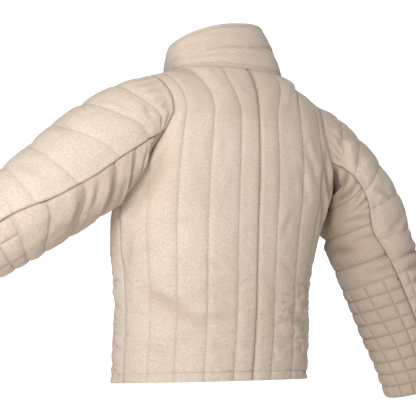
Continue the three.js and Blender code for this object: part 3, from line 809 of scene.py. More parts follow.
class Wiring:
    """Adds nodes to a tree and joins them."""

    def __init__(self, tree: bpy.types.NodeTree) -> None:
        """Keeps the tree and its own input and output nodes."""
        self.tree = tree
        self.input = tree.nodes.get("Group Input")
        self.output = tree.nodes.get("Group Output")

    def add(self, kind: str, links: dict[object, object] | None = None, **settings: object) -> bpy.types.Node:
        """Adds a node.

        Args:
            kind: the node's type.
            links: for each input, by name or number, a socket to join or a value to set.
            **settings: the node's own settings.

        Returns:
            The node.
        """
        node = self.tree.nodes.new(kind)
        for name, value in settings.items():
            setattr(node, name, value)
        for key, value in (links or {}).items():
            self.join(node.inputs[key], value)
        return node

    def join(self, socket: bpy.types.NodeSocket, value: object) -> None:
        """Joins a socket to another one, or sets its value."""
        if isinstance(value, bpy.types.NodeSocket):
            self.tree.links.new(value, socket)
        else:
            socket.default_value = value

    def maths(self, operation: str, a: object, b: object = 0.0) -> bpy.types.NodeSocket:
        """The result of a sum on two numbers."""
        return self.add("ShaderNodeMath", {0: a, 1: b}, operation=operation).outputs[0]

    def blend(self, share: object, a: object, b: object, how: str = "MIX") -> bpy.types.NodeSocket:
        """Two colours mixed."""
        node = self.add("ShaderNodeMix", {0: share, 6: a, 7: b}, data_type="RGBA", blend_type=how)
        return node.outputs[2]

    def span(self, value: object, low: float, high: float, to_low: float,
             to_high: float) -> bpy.types.NodeSocket:
        """A number moved from one range to another."""
        node = self.add("ShaderNodeMapRange", {0: value, 1: low, 2: high, 3: to_low, 4: to_high})
        return node.outputs[0]


def canvas_weave() -> bpy.types.ShaderNodeTree:
    """The plain weave of cotton canvas on a flat map: crossing threads, slubs and a woolly nap."""
    group = new_group(
        "canvas weave",
        [("Map", "NodeSocketVector", (0, 0, 0)), ("Thread", "NodeSocketFloat", 0.8),
         ("Slubs", "NodeSocketFloat", 0.5)],
        [("Height", "NodeSocketFloat"), ("Threads", "NodeSocketFloat")])
    w = Wiring(group)
    split = w.add("ShaderNodeSeparateXYZ", {0: w.input.outputs["Map"]})
    pitch = w.maths("DIVIDE", math.pi * 1000, w.input.outputs["Thread"])
    warp = w.maths("SINE", w.maths("MULTIPLY", split.outputs[0], pitch))
    weft = w.maths("SINE", w.maths("MULTIPLY", split.outputs[1], pitch))
    crossing = w.maths("MULTIPLY", warp, weft)
    threads = w.span(crossing, -1, 1, 0, 1)
    slub = w.add("ShaderNodeTexNoise", {"Vector": w.input.outputs["Map"], "Scale": 420.0, "Detail": 4.0,
                                        "Roughness": 0.65})
    nap = w.add("ShaderNodeTexNoise", {"Vector": w.input.outputs["Map"], "Scale": 1500.0, "Detail": 2.0})
    rough = w.maths("ADD", w.maths("MULTIPLY", slub.outputs[0], w.input.outputs["Slubs"]),
                    w.maths("MULTIPLY", nap.outputs[0], 0.4))
    height = w.maths("ADD", w.maths("MULTIPLY", threads, 0.45), rough)
    w.join(w.output.inputs["Height"], height)
    w.join(w.output.inputs["Threads"], threads)
    return group


def cloth_tone() -> bpy.types.ShaderNodeTree:
    """The unevenness of undyed cotton, large soft areas and a fine mottle, and the painted shade in the
    grooves.
    """
    group = new_group(
        "cloth tone",
        [("Map", "NodeSocketVector", (0, 0, 0)), ("Place", "NodeSocketVector", (0, 0, 0)),
         ("Groove", "NodeSocketFloat", 0.0)],
        [("Pale", "NodeSocketFloat"), ("Mottle", "NodeSocketFloat"), ("Painted Shade", "NodeSocketFloat")])
    w = Wiring(group)
    large = w.add("ShaderNodeTexNoise", {"Vector": w.input.outputs["Place"], "Scale": 7.0, "Detail": 3.0})
    fine = w.add("ShaderNodeTexNoise", {"Vector": w.input.outputs["Map"], "Scale": 230.0, "Detail": 5.0,
                                        "Roughness": 0.6})
    w.join(w.output.inputs["Pale"], w.span(large.outputs[0], 0.35, 0.68, 0, 1))
    w.join(w.output.inputs["Mottle"], w.span(fine.outputs[0], 0.36, 0.64, 0, 1))
    # Painted shade: the groove attribute, broken up a little by the fine mottle, darkens seams, stitching and
    # crease troughs.
    painted_shade = w.maths("MULTIPLY", w.input.outputs["Groove"], w.span(fine.outputs[0], 0.3, 0.6, 0.75, 1))
    w.join(w.output.inputs["Painted Shade"], painted_shade)
    return group


@dataclass(frozen=True)
class CanvasFinish:
    """Undyed quilted cotton canvas: its colours and how coarse its weave is."""

    name: str
    colour: tuple[float, float, float]
    shade: tuple[float, float, float]
    # The colour of the painted shade in the grooves.
    groove: tuple[float, float, float]
    thread: float = 0.8
    slubs: float = 0.5
    bump: float = 0.6

    def material(self, weave: bpy.types.ShaderNodeTree, tone: bpy.types.ShaderNodeTree) -> bpy.types.Material:
        """Makes the material.

        Args:
            weave: the canvas weave group.
            tone: the cloth tone group.

        Returns:
            The material.
        """
        material, shader = new_material(self.name)
        w = Wiring(material.node_tree)
        chart = w.add("ShaderNodeUVMap", uv_map="cloth").outputs[0]
        place = w.add("ShaderNodeTexCoord").outputs["Object"]
        groove = w.add("ShaderNodeAttribute", attribute_name="groove").outputs["Fac"]
        threads = w.add("ShaderNodeGroup", node_tree=weave)
        w.join(threads.inputs["Map"], chart)
        threads.inputs["Thread"].default_value = self.thread
        threads.inputs["Slubs"].default_value = self.slubs
        tones = w.add("ShaderNodeGroup", node_tree=tone)
        w.join(tones.inputs["Map"], chart)
        w.join(tones.inputs["Place"], place)
        w.join(tones.inputs["Groove"], groove)
        base = w.blend(tones.outputs["Pale"], (*self.shade, 1), (*self.colour, 1))
        mottle = w.span(tones.outputs["Mottle"], 0, 1, 0.87, 1.06)
        grey = w.add("ShaderNodeCombineColor", {0: mottle, 1: mottle, 2: mottle}).outputs[0]
        speckled = w.blend(1.0, base, grey, "MULTIPLY")
        # Painted shade: the colour is mixed towards the groove colour where the groove attribute is high.
        with_painted_shade = w.blend(w.maths("MULTIPLY", tones.outputs["Painted Shade"], 0.75), speckled, (*self.groove, 1))
        w.join(shader.inputs["Base Color"], with_painted_shade)
        w.join(shader.inputs["Roughness"], w.span(tones.outputs["Mottle"], 0, 1, 0.97, 0.88))
        shader.inputs["Sheen Weight"].default_value = 0.12
        shader.inputs["Sheen Roughness"].default_value = 0.6
        shader.inputs["Specular IOR Level"].default_value = 0.25
        bump = w.add("ShaderNodeBump", {"Height": threads.outputs["Height"], "Strength": self.bump,
                                        "Distance": 0.0006})
        w.join(shader.inputs["Normal"], bump.outputs[0])
        return material


@dataclass(frozen=True)
class ThreadFinish:
    """Sewing thread of twisted cotton."""

    name: str
    colour: tuple[float, float, float]

    def material(self) -> bpy.types.Material:
        """Makes the material."""
        material, shader = new_material(self.name)
        w = Wiring(material.node_tree)
        place = w.add("ShaderNodeTexCoord").outputs["Object"]
        twist = w.add("ShaderNodeTexNoise", {"Vector": place, "Scale": 900.0, "Detail": 2.0})
        shade = tuple(0.8 * c for c in self.colour)
        w.join(shader.inputs["Base Color"], w.blend(twist.outputs[0], (*shade, 1), (*self.colour, 1)))
        shader.inputs["Roughness"].default_value = 0.8
        return material


# The third colour of each canvas is its painted shade for the grooves.
SHELL = CanvasFinish("canvas shell", (0.62, 0.53, 0.45), (0.57, 0.475, 0.39), (0.28, 0.205, 0.145))
# The under sleeve canvas is the shell's made darker: painted shade for the undersides of the arms.
UNDER = CanvasFinish("canvas under sleeve", (0.59, 0.495, 0.41), (0.53, 0.43, 0.345), (0.22, 0.15, 0.105))
COLLAR = CanvasFinish("canvas collar", (0.62, 0.53, 0.45), (0.57, 0.475, 0.39), (0.28, 0.205, 0.145))
SEWING = ThreadFinish("sewing thread", (0.62, 0.52, 0.42))


# ---- The body's panels ----


class Face(Enum):
    """Which of a side's two panels."""

    BACK = "back"
    FRONT = "front"


BODY_CREASES = {
    Side.LEFT: (
        Crease(240, -458, 120, -520, 15, 5), Crease(120, -520, 48, -512, 11, 3),
        Crease(264, -300, 198, -215, 17, 6), Crease(336, -300, 408, -205, 18, 5),
        Crease(372, -480, 492, -530, 16, 4), Crease(232, -250, 190, -175, 10, 3),
        Crease(262, -390, 205, -372, 10, 1.6), Crease(170, -402, 128, -425, 9, 1.8),
        Crease(112, -395, 78, -420, 8, 1.7), Crease(104, -452, 60, -440, 9, 1.5),
        Crease(180, -560, 118, -548, 10, 1.8), Crease(235, -565, 190, -580, 9, 1.6),
        Crease(98, -560, 58, -571, 8, 1.4), Crease(40, -470, 12, -461, 8, 1.2),
        Crease(168, -330, 130, -318, 9, 1.2), Crease(290, -420, 262, -350, 12, 2.5),
        Crease(160, -150, 130, -60, 13, 1.8), Crease(420, -330, 470, -300, 12, 2),
        Crease(500, -420, 560, -450, 12, 2), Crease(380, -400, 440, -380, 12, 2),
        Crease(455, -180, 500, -130, 14, 2.5), Crease(520, -560, 600, -545, 10, 2),
    ),
    Side.RIGHT: (
        Crease(252, -300, 180, -190, 15, 5), Crease(216, -330, 162, -215, 13, 4),
        Crease(96, -505, 180, -535, 13, 4), Crease(342, -310, 420, -205, 16, 5),
        Crease(360, -470, 480, -500, 16, 4), Crease(150, -240, 112, -150, 9, 2.2),
        Crease(120, -270, 95, -200, 8, 1.8), Crease(200, -240, 178, -160, 10, 3),
        Crease(60, -400, 92, -420, 9, 1.4), Crease(150, -440, 205, -452, 10, 1.8),
        Crease(62, -560, 112, -552, 9, 1.5), Crease(170, -590, 220, -580, 9, 1.5),
        Crease(60, -350, 84, -290, 9, 1.5), Crease(230, -400, 262, -440, 11, 2),
        Crease(430, -340, 480, -310, 12, 2), Crease(510, -430, 570, -445, 12, 2),
        Crease(395, -410, 450, -390, 12, 2), Crease(460, -190, 505, -140, 14, 2.5),
    ),
}


@dataclass
class BodyPanel:
    """One quilted panel of the body, from the hem to the shoulder or neckline."""

    side: Side
    face: Face
    crown: float = 3.3
    spacing: float = 3.9
    row_spacing: float = 3.9
    hem_roll: float = 1.2
    seam_deep: float = 2.0
    edge_deep: float = 1.4
    lap_edge_deep: float = 1.0
    folds: float = 1.6
    fold_shade: float = 0.09
    over_chest: float = 150.0
    level_high: float = 530.0

    def __post_init__(self) -> None:
        """Works out the panel's name, its form and its rows of stitching."""
        self.form = BodyForm(self.side)
        self.name = f"{self.face.value}_{self.side.name.lower()}"
        self.is_front = self.face is Face.FRONT
        gap = SEAM_GAP / 2 / HALF_GIRTH
        if self.is_front:
            self.stitches = (SIDE_SEAM, *FRONT_STITCHES, 1 + LAP)
            self.edges = (SIDE_SEAM + gap, 1 + LAP)
        else:
            self.stitches = (0.0, *BACK_STITCHES, SIDE_SEAM)
            self.edges = (gap, SIDE_SEAM - gap)
        inside = sorted({*self.stitches[1:-1], ARMHOLE_FRONT if self.is_front else ARMHOLE_BACK})
        self.columns = clustered([self.edges[0], *inside, self.edges[1]], HALF_GIRTH, self.spacing)
        chest = CHEST_TOP - HEM
        lower = clustered([0, HEM_BAND / chest, 1], chest, self.row_spacing)
        upper = clustered([1, 2 - SEAM_GAP / 2 / 130], self.over_chest, 4.0)
        self.rows = np.concatenate([lower, upper[1:]])
        self.chest_row = len(lower) - 1

    def level(self, share: Array, row: Array) -> Array:
        """The level of a place: under the arm the rows draw together below the armhole's cut."""
        return np.where(under_arm(share), np.minimum(row, 1) * self.form.armhole_level(share), row)

    def height(self, level: Array) -> Array:
        """The height that a level stands for on the flat map."""
        return lerp(HEM, CHEST_TOP, level)

    def from_edges(self, share: Array, row: Array) -> tuple[Array, Array, Array, Array]:
        """The distances to the sewn sides, the top, the armhole and the hem."""
        level = self.level(share, row)
        z = self.height(level)
        sides = np.minimum(np.abs(share - self.stitches[0]), np.abs(self.stitches[-1] - share)) * HALF_GIRTH
        top = np.where(level > 1, (2 - level) * self.over_chest, self.over_chest)
        under = (share >= ARMHOLE_BACK - TOUCHING) & (share <= ARMHOLE_FRONT + TOUCHING)
        below = self.height(self.form.armhole_level(np.clip(share, ARMHOLE_BACK, ARMHOLE_FRONT))) - z
        corner = ARMHOLE_FRONT if self.is_front else ARMHOLE_BACK
        beside = np.hypot(np.abs(share - corner) * HALF_GIRTH, np.maximum(0.0, 1 - level) * self.level_high)
        return sides, top, np.where(under, np.where(level > 1, 0, below), beside), z - HEM

    def relief(self, share: Array, row: Array) -> Array:
        """How far the outer face stands from the form."""
        level = self.level(share, row)
        z, u = self.height(level), share * HALF_GIRTH
        signed = u * self.side.value
        sides, top, arm, hem = self.from_edges(share, row)
        off, width = between(share, np.array(self.stitches))
        lap = 1 - 0.8 * smoothstep(share, 1 - 1.6 * LAP, 1 - LAP) if self.is_front else 1.0
        held = smoothstep(top, 0, 16) * smoothstep(arm, 0, 22)
        quilting = Quilting(self.crown, shoulder=4.2, pucker=0.6)
        padding = quilting.lift(off * HALF_GIRTH, width * HALF_GIRTH, z, signed)
        lift = padding * held * lap
        low = 1 - smoothstep(z, -470, -300)
        wrinkles = (2.1 * SoftNoise(2, 95, 15).ridged(signed, z - 0.12 * signed)
                    + 0.9 * SoftNoise(5, 60, 10).ridged(signed, z + 0.2 * signed)) * (0.18 + low)
        soft = (1.9 * SoftNoise(1, 85, 120).at(signed, z) + wrinkles
                + 0.9 * SoftNoise(4, 16, 60).at(signed, z) * (1 - low)
                + 0.5 * SoftNoise(3, 24, 12).at(signed, z))
        free = 1 - np.exp(-off * HALF_GIRTH / 9)
        creases = self.folds * crease_lift(BODY_CREASES[self.side], u, z)
        lift = lift + (soft * (0.35 + 0.65 * free) + creases) * held
        is_first = np.abs(share - self.stitches[0]) < np.abs(self.stitches[-1] - share)
        if self.is_front:
            edge = np.where(share > 1, self.lap_edge_deep, self.edge_deep)
        else:
            edge = np.where(is_first, self.seam_deep, self.edge_deep)
        lift -= edge * bell(sides, 3.2)
        lift -= 1.5 * bell(arm, 2.6) + 1.2 * bell(top, 2.6)
        lift += 1.3 * bell(arm - 6, 4)
        lift -= 1.5 * bell(hem - HEM_BAND, 1.6)
        lift -= self.hem_roll * bell(hem, 2.2)
        return np.maximum(lift, 1.2 - WALL)

    def moved(self, share: Array, row: Array, lift: Array | float) -> Array:
        """Points off the form, with the outer front's lap."""
        level = self.level(share, row)
        point = self.form.point(share, level)
        normal = self.form.normal(share, np.minimum(level, 1.9985))
        return (point + self.form.lap_move(share, level, point)
                + normal * np.broadcast_to(lift, share.shape)[..., None])

    def holds(self, i: Array, j: Array) -> Array:
        """Whether a cell is cloth: over the chest there is none beside the armhole."""
        middle = (self.columns[i] + self.columns[i + 1]) / 2
        beside = middle < ARMHOLE_FRONT if self.is_front else middle > ARMHOLE_BACK
        return ~((j >= self.chest_row) & beside)

    def groove(self, share: Array, row: Array) -> Array:
        """How near a place is to a seam or a row of stitching, as the depth of its shade."""
        off, _ = between(share, np.array(self.stitches))
        sides, top, arm, hem = self.from_edges(share, row)
        edges = np.minimum(np.minimum(sides, top), arm)
        creases = crease_lift(BODY_CREASES[self.side], share * HALF_GIRTH, hem + HEM)
        return (0.4 * np.exp(-off * HALF_GIRTH / 1.3) + 0.9 * np.exp(-edges / 1.8)
                + 0.3 * np.exp(-np.abs(hem - HEM_BAND) / 1.4)
                + self.fold_shade * np.maximum(0, -creases))

    def build(self) -> bpy.types.Object:
        """Makes the panel."""
        return Shell(
            self.name + "_cloth", self.columns, self.rows,
            outer=lambda s, r: self.moved(s, r, self.relief(s, r)),
            inner=lambda s, r: self.moved(s, r, -WALL),
            flat=lambda s, r: np.stack([s * HALF_GIRTH, self.height(self.level(s, r))], axis=-1),
            groove=self.groove, holds=self.holds,
        ).build()

    def stitching(self, thread: Thread) -> bpy.types.Object:
        """Sews the rows down the channels and the row along the hem."""
        rows = []
        for share in self.stitches[1:-1]:
            top = 1.0 if ARMHOLE_BACK < share < ARMHOLE_FRONT else 1.96
            up = np.linspace(HEM_BAND / (CHEST_TOP - HEM), top, 220)
            rows.append(self._row(np.full(up.shape, share), up))
        across = np.linspace(self.edges[0] + 0.004, self.edges[1] - 0.004, 160)
        rows.append(self._row(across, np.full(across.shape, HEM_BAND / (CHEST_TOP - HEM))))
        return thread.sew(self.name + "_stitching", rows)

    def _row(self, share: Array, row: Array) -> tuple[Array, Array]:
        """The points of a row of stitching and the outward directions there."""
        normal = self.form.normal(share, np.minimum(self.level(share, row), 1.9985))
        return self.moved(share, row, self.relief(share, row) + 0.1), normal


# ---- The sleeves ----


class Part(Enum):
    """Which of a sleeve's two panels."""

    OUTER = "outer"
    UNDER = "under"


SLEEVE_LINES = {
    (Side.LEFT, Part.OUTER): (0, 0.098, 0.198, 0.298, 0.418, 0.543, 0.6),
    (Side.LEFT, Part.UNDER): (0, 0.235, 0.355, 0.49, 0.59, 0.645),
    (Side.RIGHT, Part.OUTER): (0, 0.065, 0.126, 0.203, 0.287, 0.405, 0.49, 0.54),
    (Side.RIGHT, Part.UNDER): (0, 0.085, 0.18, 0.34, 0.46, 0.54),
}
FOREARM_ROWS = {Side.LEFT: 8, Side.RIGHT: 9}
BACK_SEAM = {Side.LEFT: 6, Side.RIGHT: 7}
SEED = {Side.LEFT: 30, Side.RIGHT: 40}
CRUMPLE = {Side.LEFT: 0.7, Side.RIGHT: 1.6}
BESIDE_SEAM = {Part.OUTER: 1.6, Part.UNDER: -0.4}
STITCH_SHADE = {Part.OUTER: 0.2, Part.UNDER: 0.7}
SLEEVE_LENGTH = 660.0
CORNER = 27.0

SLEEVE_CREASES = {
    (Side.LEFT, Part.OUTER): (
        Crease(100, 75, 128, 110, 7, 2.2), Crease(110, 14, 118, 42, 5, 2), Crease(92, 12, 96, 46, 5, 2),
        Crease(72, 10, 70, 40, 5, 1.8), Crease(52, 10, 46, 44, 6, 1.8), Crease(30, 10, 26, 36, 6, 1.6),
        Crease(-20, 12, -26, 46, 6, 1.8), Crease(-60, 10, -64, 44, 6, 1.8),
        Crease(20, 190, 60, 205, 12, 1.6), Crease(-40, 250, 10, 262, 12, 1.6),
        Crease(60, 330, 110, 318, 12, 1.6), Crease(-90, 330, -50, 345, 12, 2),
    ),
    (Side.LEFT, Part.UNDER): (
        Crease(180, 168, 280, 150, 9, 5), Crease(176, 240, 270, 250, 12, 5),
        Crease(186, 60, 300, 40, 14, 5), Crease(186, 100, 260, 96, 9, 3), Crease(172, 330, 240, 340, 11, 3),
        Crease(320, 180, 420, 150, 14, 4), Crease(310, 300, 400, 320, 12, 3),
        Crease(340, 90, 440, 70, 14, 4), Crease(175, 290, 215, 300, 8, 2.2),
    ),
    (Side.RIGHT, Part.OUTER): (
        Crease(120, 190, 160, 150, 6, 3.2), Crease(110, 60, 158, 28, 7, 3.5),
        Crease(120, 100, 160, 80, 7, 2.6), Crease(90, 230, 158, 262, 9, 2.6),
        Crease(70, 330, 156, 318, 9, 2.4), Crease(60, 290, 110, 300, 10, 2),
        Crease(20, 130, 80, 150, 12, 2), Crease(-60, 220, -10, 205, 12, 2),
        Crease(-90, 110, -40, 90, 12, 2.4), Crease(80, 20, 84, 52, 6, 1.8), Crease(40, 14, 42, 48, 6, 1.8),
        Crease(0, 12, -2, 46, 6, 1.8), Crease(100, 370, 160, 352, 7, 3), Crease(110, 392, 162, 384, 6, 2.6),
        Crease(128, 8, 150, 52, 5, 3), Crease(146, 6, 170, 44, 4, 3.4), Crease(164, 5, 184, 34, 4, 3),
        Crease(172, 20, 186, 62, 4, 2.4),
    ),
    (Side.RIGHT, Part.UNDER): (
        Crease(168, 150, 230, 165, 7, 3), Crease(168, 210, 250, 190, 8, 3),
        Crease(166, 255, 240, 250, 7, 2.6), Crease(168, 300, 215, 312, 7, 2.6),
        Crease(170, 338, 250, 330, 9, 2.6), Crease(168, 182, 205, 178, 6, 2.4),
        Crease(240, 270, 330, 255, 10, 3), Crease(200, 60, 300, 40, 12, 5),
        Crease(300, 110, 420, 80, 12, 4), Crease(180, 100, 260, 95, 9, 4),
        Crease(330, 230, 420, 210, 12, 3), Crease(168, 372, 196, 366, 5, 2.2),
        Crease(206, 14, 268, 46, 14, 11), Crease(196, 56, 250, 74, 7, 4), Crease(192, 128, 226, 140, 6, 3),
    ),
}


@dataclass
class SleevePanel:
    """One of a sleeve's two panels: channels across the upper arm and squares on the forearm."""

    side: Side
    part: Part
    crown: float = 4.2
    square_crown: float = 4.0
    spacing: float = 4.2
    row_spacing: float = 4.6
    folds: float = 1.6
    fold_shade: float = 0.1

    def __post_init__(self) -> None:
        """Works out the panel's name, its form and its rows of stitching."""
        self.form = SleeveForm(self.side)
        self.name = f"sleeve_{self.side.name.lower()}_{self.part.value}"
        is_outer = self.part is Part.OUTER
        seam = BACK_SEAM[self.side]
        self.start, self.stop = (seam - 11, seam) if is_outer else (seam, seam + 11)
        first = self.start + (2.0 if is_outer else 1.45)
        self.lengthwise = np.array([self.start, *(first + 2 * k for k in range(5)), self.stop], float)
        self.channels = np.array(SLEEVE_LINES[self.side, self.part])
        self.forearm = float(self.channels[-1])
        count = FOREARM_ROWS[self.side]
        self.squares = np.array([lerp(self.forearm, 1, k / count) for k in range(count + 1)])
        self.columns = clustered([float(c) for c in self.lengthwise], CORNER, self.spacing)
        self.rows = clustered([float(s) for s in (*self.channels, *self.squares[1:])], SLEEVE_LENGTH,
                              self.row_spacing)

    def corner(self, column: Array, share: Array) -> Array:
        """The corner's number less the seams' gap, the forearm's lines drawing together to the cuff."""
        gap = self.form.half_gap(share)
        if self.side is Side.RIGHT and self.part is Part.UNDER:
            across = np.sin(math.pi * (column - self.start) / (self.stop - self.start)) ** 2
            column = column - (0.4 * smoothstep(share, 0.4, 0.6) + 0.9 * smoothstep(share, 0.6, 1)) * across
        return np.clip(column, self.start + gap, self.stop - gap)

    def slide(self, corner: Array, share: Array) -> Array:
        """How far the left sleeve's rows of stitching run up towards the shoulder near the back seam."""
        if self.side is Side.RIGHT:
            return np.zeros(np.shape(share))
        if self.part is Part.OUTER:
            fading = np.minimum(1, share / 0.15) * (1 - smoothstep(share, 0.15, 0.54))
            return 0.12 * np.maximum(0, (np.abs(corner) - 0.8) / 5.2) ** 1.5 * fading
        fading = np.minimum(1, share / 0.3) * (1 - smoothstep(share, 0.5, 0.72))
        return 0.11 * (1 - smoothstep(corner, 6, 10.5)) * fading

    def relief(self, column: Array, share: Array) -> Array:
        """How far the outer face stands from the form."""
        u, v = column * CORNER, share * SLEEVE_LENGTH
        off, width = between(share, self.channels)
        across, wide = between(column, self.lengthwise)
        is_forearm = smoothstep(share, self.forearm - 0.002, self.forearm + 0.002)
        seed = SEED[self.side]
        channels = Quilting(self.crown, pucker=0.8)
        upper = channels.lift(off * SLEEVE_LENGTH, width * SLEEVE_LENGTH, u, v + seed * 7)
        cross, tall = between(share, self.squares)
        square = np.minimum(cross * SLEEVE_LENGTH, across * CORNER)
        puff = Quilting(self.square_crown, shoulder=4.5, pucker=0.5).lift(
            square, np.minimum(tall * SLEEVE_LENGTH, wide * CORNER), u + v, u - v)
        fade = smoothstep(share, 0.0, 0.06)
        lift = lerp(upper * fade, puff, is_forearm)
        sides = np.minimum(column - self.start, self.stop - column) * CORNER
        soft = (1.4 * SoftNoise(seed, 60, 70).at(u, v) + 0.7 * SoftNoise(seed + 1, 18, 40).at(u, v)
                + 0.9 * SoftNoise(seed + 5, 40, 22).ridged(u, v) + 0.4 * SoftNoise(seed + 2, 15, 12).at(u, v))
        seam_ripple = (SoftNoise(seed + 3, 40, 11).at(u, v) * np.exp(-sides / 16) * CRUMPLE[self.side]
                       * (1 - is_forearm * 0.5))
        lift += (soft * (1 - 0.6 * is_forearm) + seam_ripple * smoothstep(sides, 0, 6)
                 + self.folds * crease_lift(SLEEVE_CREASES[self.side, self.part], u, v)) * fade
        head = 1 - smoothstep(share, 0, 0.045)
        lift -= 1.5 * bell(v, 2.4) - 1.2 * head * bell(v - 7, 5)
        lift += BESIDE_SEAM[self.part] * bell(sides - 3.2, 3.0) - 1.8 * bell(sides, 2.2)
        cuff = (1 - share) * SLEEVE_LENGTH
        lift -= 1.3 * bell(cuff, 2.2)
        return np.maximum(lift, 1.2 - WALL)

    def moved(self, column: Array, row: Array, lift: Array | float) -> Array:
        """Points off the form."""
        share = row - self.slide(column, row)
        corner = self.corner(column, share)
        return (self.form.point(corner, share)
                + self.form.normal(corner, share) * np.broadcast_to(lift, share.shape)[..., None])

    def groove(self, column: Array, row: Array) -> Array:
        """How near a place is to a seam or a row of stitching, as the depth of its painted shade; creases and
        the right under sleeve get painted shade too.
        """
        off, _ = between(row, self.channels)
        cross, _ = between(row, self.squares)
        across, _ = between(column, self.lengthwise)
        square = np.where(row > self.forearm, np.minimum(cross * SLEEVE_LENGTH, across * CORNER), 99)
        near = np.minimum(np.where(row < self.forearm, off * SLEEVE_LENGTH, 99), square)
        sides = np.minimum(column - self.start, self.stop - column) * CORNER
        u, v = column * CORNER, row * SLEEVE_LENGTH
        folds = self.fold_shade * np.maximum(0, -crease_lift(SLEEVE_CREASES[self.side, self.part], u, v))
        # Painted shade on the right under sleeve for the torso's shadow: an even darkening, more away from
        # the back seam and up towards the armhole, and a dark patch at the armpit.
        if self.side is Side.RIGHT and self.part is Part.UNDER:
            inner = smoothstep(column - self.start, 0.6, 4) * (1 - smoothstep(row, 0.12, 0.62))
            folds = folds + 0.3 + 0.6 * inner + 0.9 * bell(u - 236, 26) * bell(v - 26, 26)
        return (np.exp(-near / 1.5) * STITCH_SHADE[self.part]
                + 0.8 * np.exp(-np.minimum(sides, v) / 1.6) + folds)

    def build(self) -> bpy.types.Object:
        """Makes the panel."""
        return Shell(
            self.name + "_cloth", self.columns, self.rows,
            outer=lambda c, r: self.moved(c, r, self.relief(c, r)),
            inner=lambda c, r: self.moved(c, r, -WALL),
            flat=lambda c, r: np.stack([c * CORNER, r * SLEEVE_LENGTH], axis=-1),
            groove=self.groove,
        ).build()

    def stitching(self, thread: Thread) -> bpy.types.Object:
        """Sews the rows across the arm, the forearm's squares and the rows beside the back seam."""
        rows = []
        across = np.linspace(self.start + 0.1, self.stop - 0.1, 160)
        for share in (*self.channels[1:], *self.squares[1:-1]):
            rows.append(self._row(across, np.full(across.shape, share)))
        along = np.linspace(self.forearm, 0.99, 120)
        for column in self.lengthwise[1:-1]:
            rows.append(self._row(np.full(along.shape, column), along))
        if self.part is Part.OUTER:
            seam = np.linspace(0.01, 0.99, 300)
            rows.append(self._row(np.full(seam.shape, self.stop - 4 / CORNER), seam))
        return thread.sew(self.name + "_stitching", rows)

    def _row(self, column: Array, row: Array) -> tuple[Array, Array]:
        """The points of a row of stitching and the outward directions there."""
        share = row - self.slide(column, row)
        normal = self.form.normal(self.corner(column, share), share)
        return self.moved(column, row, self.relief(column, row) + 0.1), normal


# ---- The collar ----


COLLAR_CREASES = (
    Crease(-120, 58, -20, 47, 3.4, 2.2), Crease(-40, 48, 70, 43, 3.4, 2.8),
    Crease(50, 44, 126, 30, 3.6, 2.4), Crease(-70, 30, 40, 30, 5, 1.3), Crease(30, 31, 116, 26, 5, 1.6),
    Crease(-150, 30, -110, 46, 9, 1.6), Crease(-240, 70, -150, 60, 5, 2), Crease(150, 40, 210, 30, 9, 2),
    Crease(-300, 40, -250, 24, 9, 2), Crease(250, 34, 310, 40, 8, 1.8), Crease(-30, 76, 60, 80, 6, 0.8),
    Crease(86, 64, 130, 70, 6, 0.9),
)


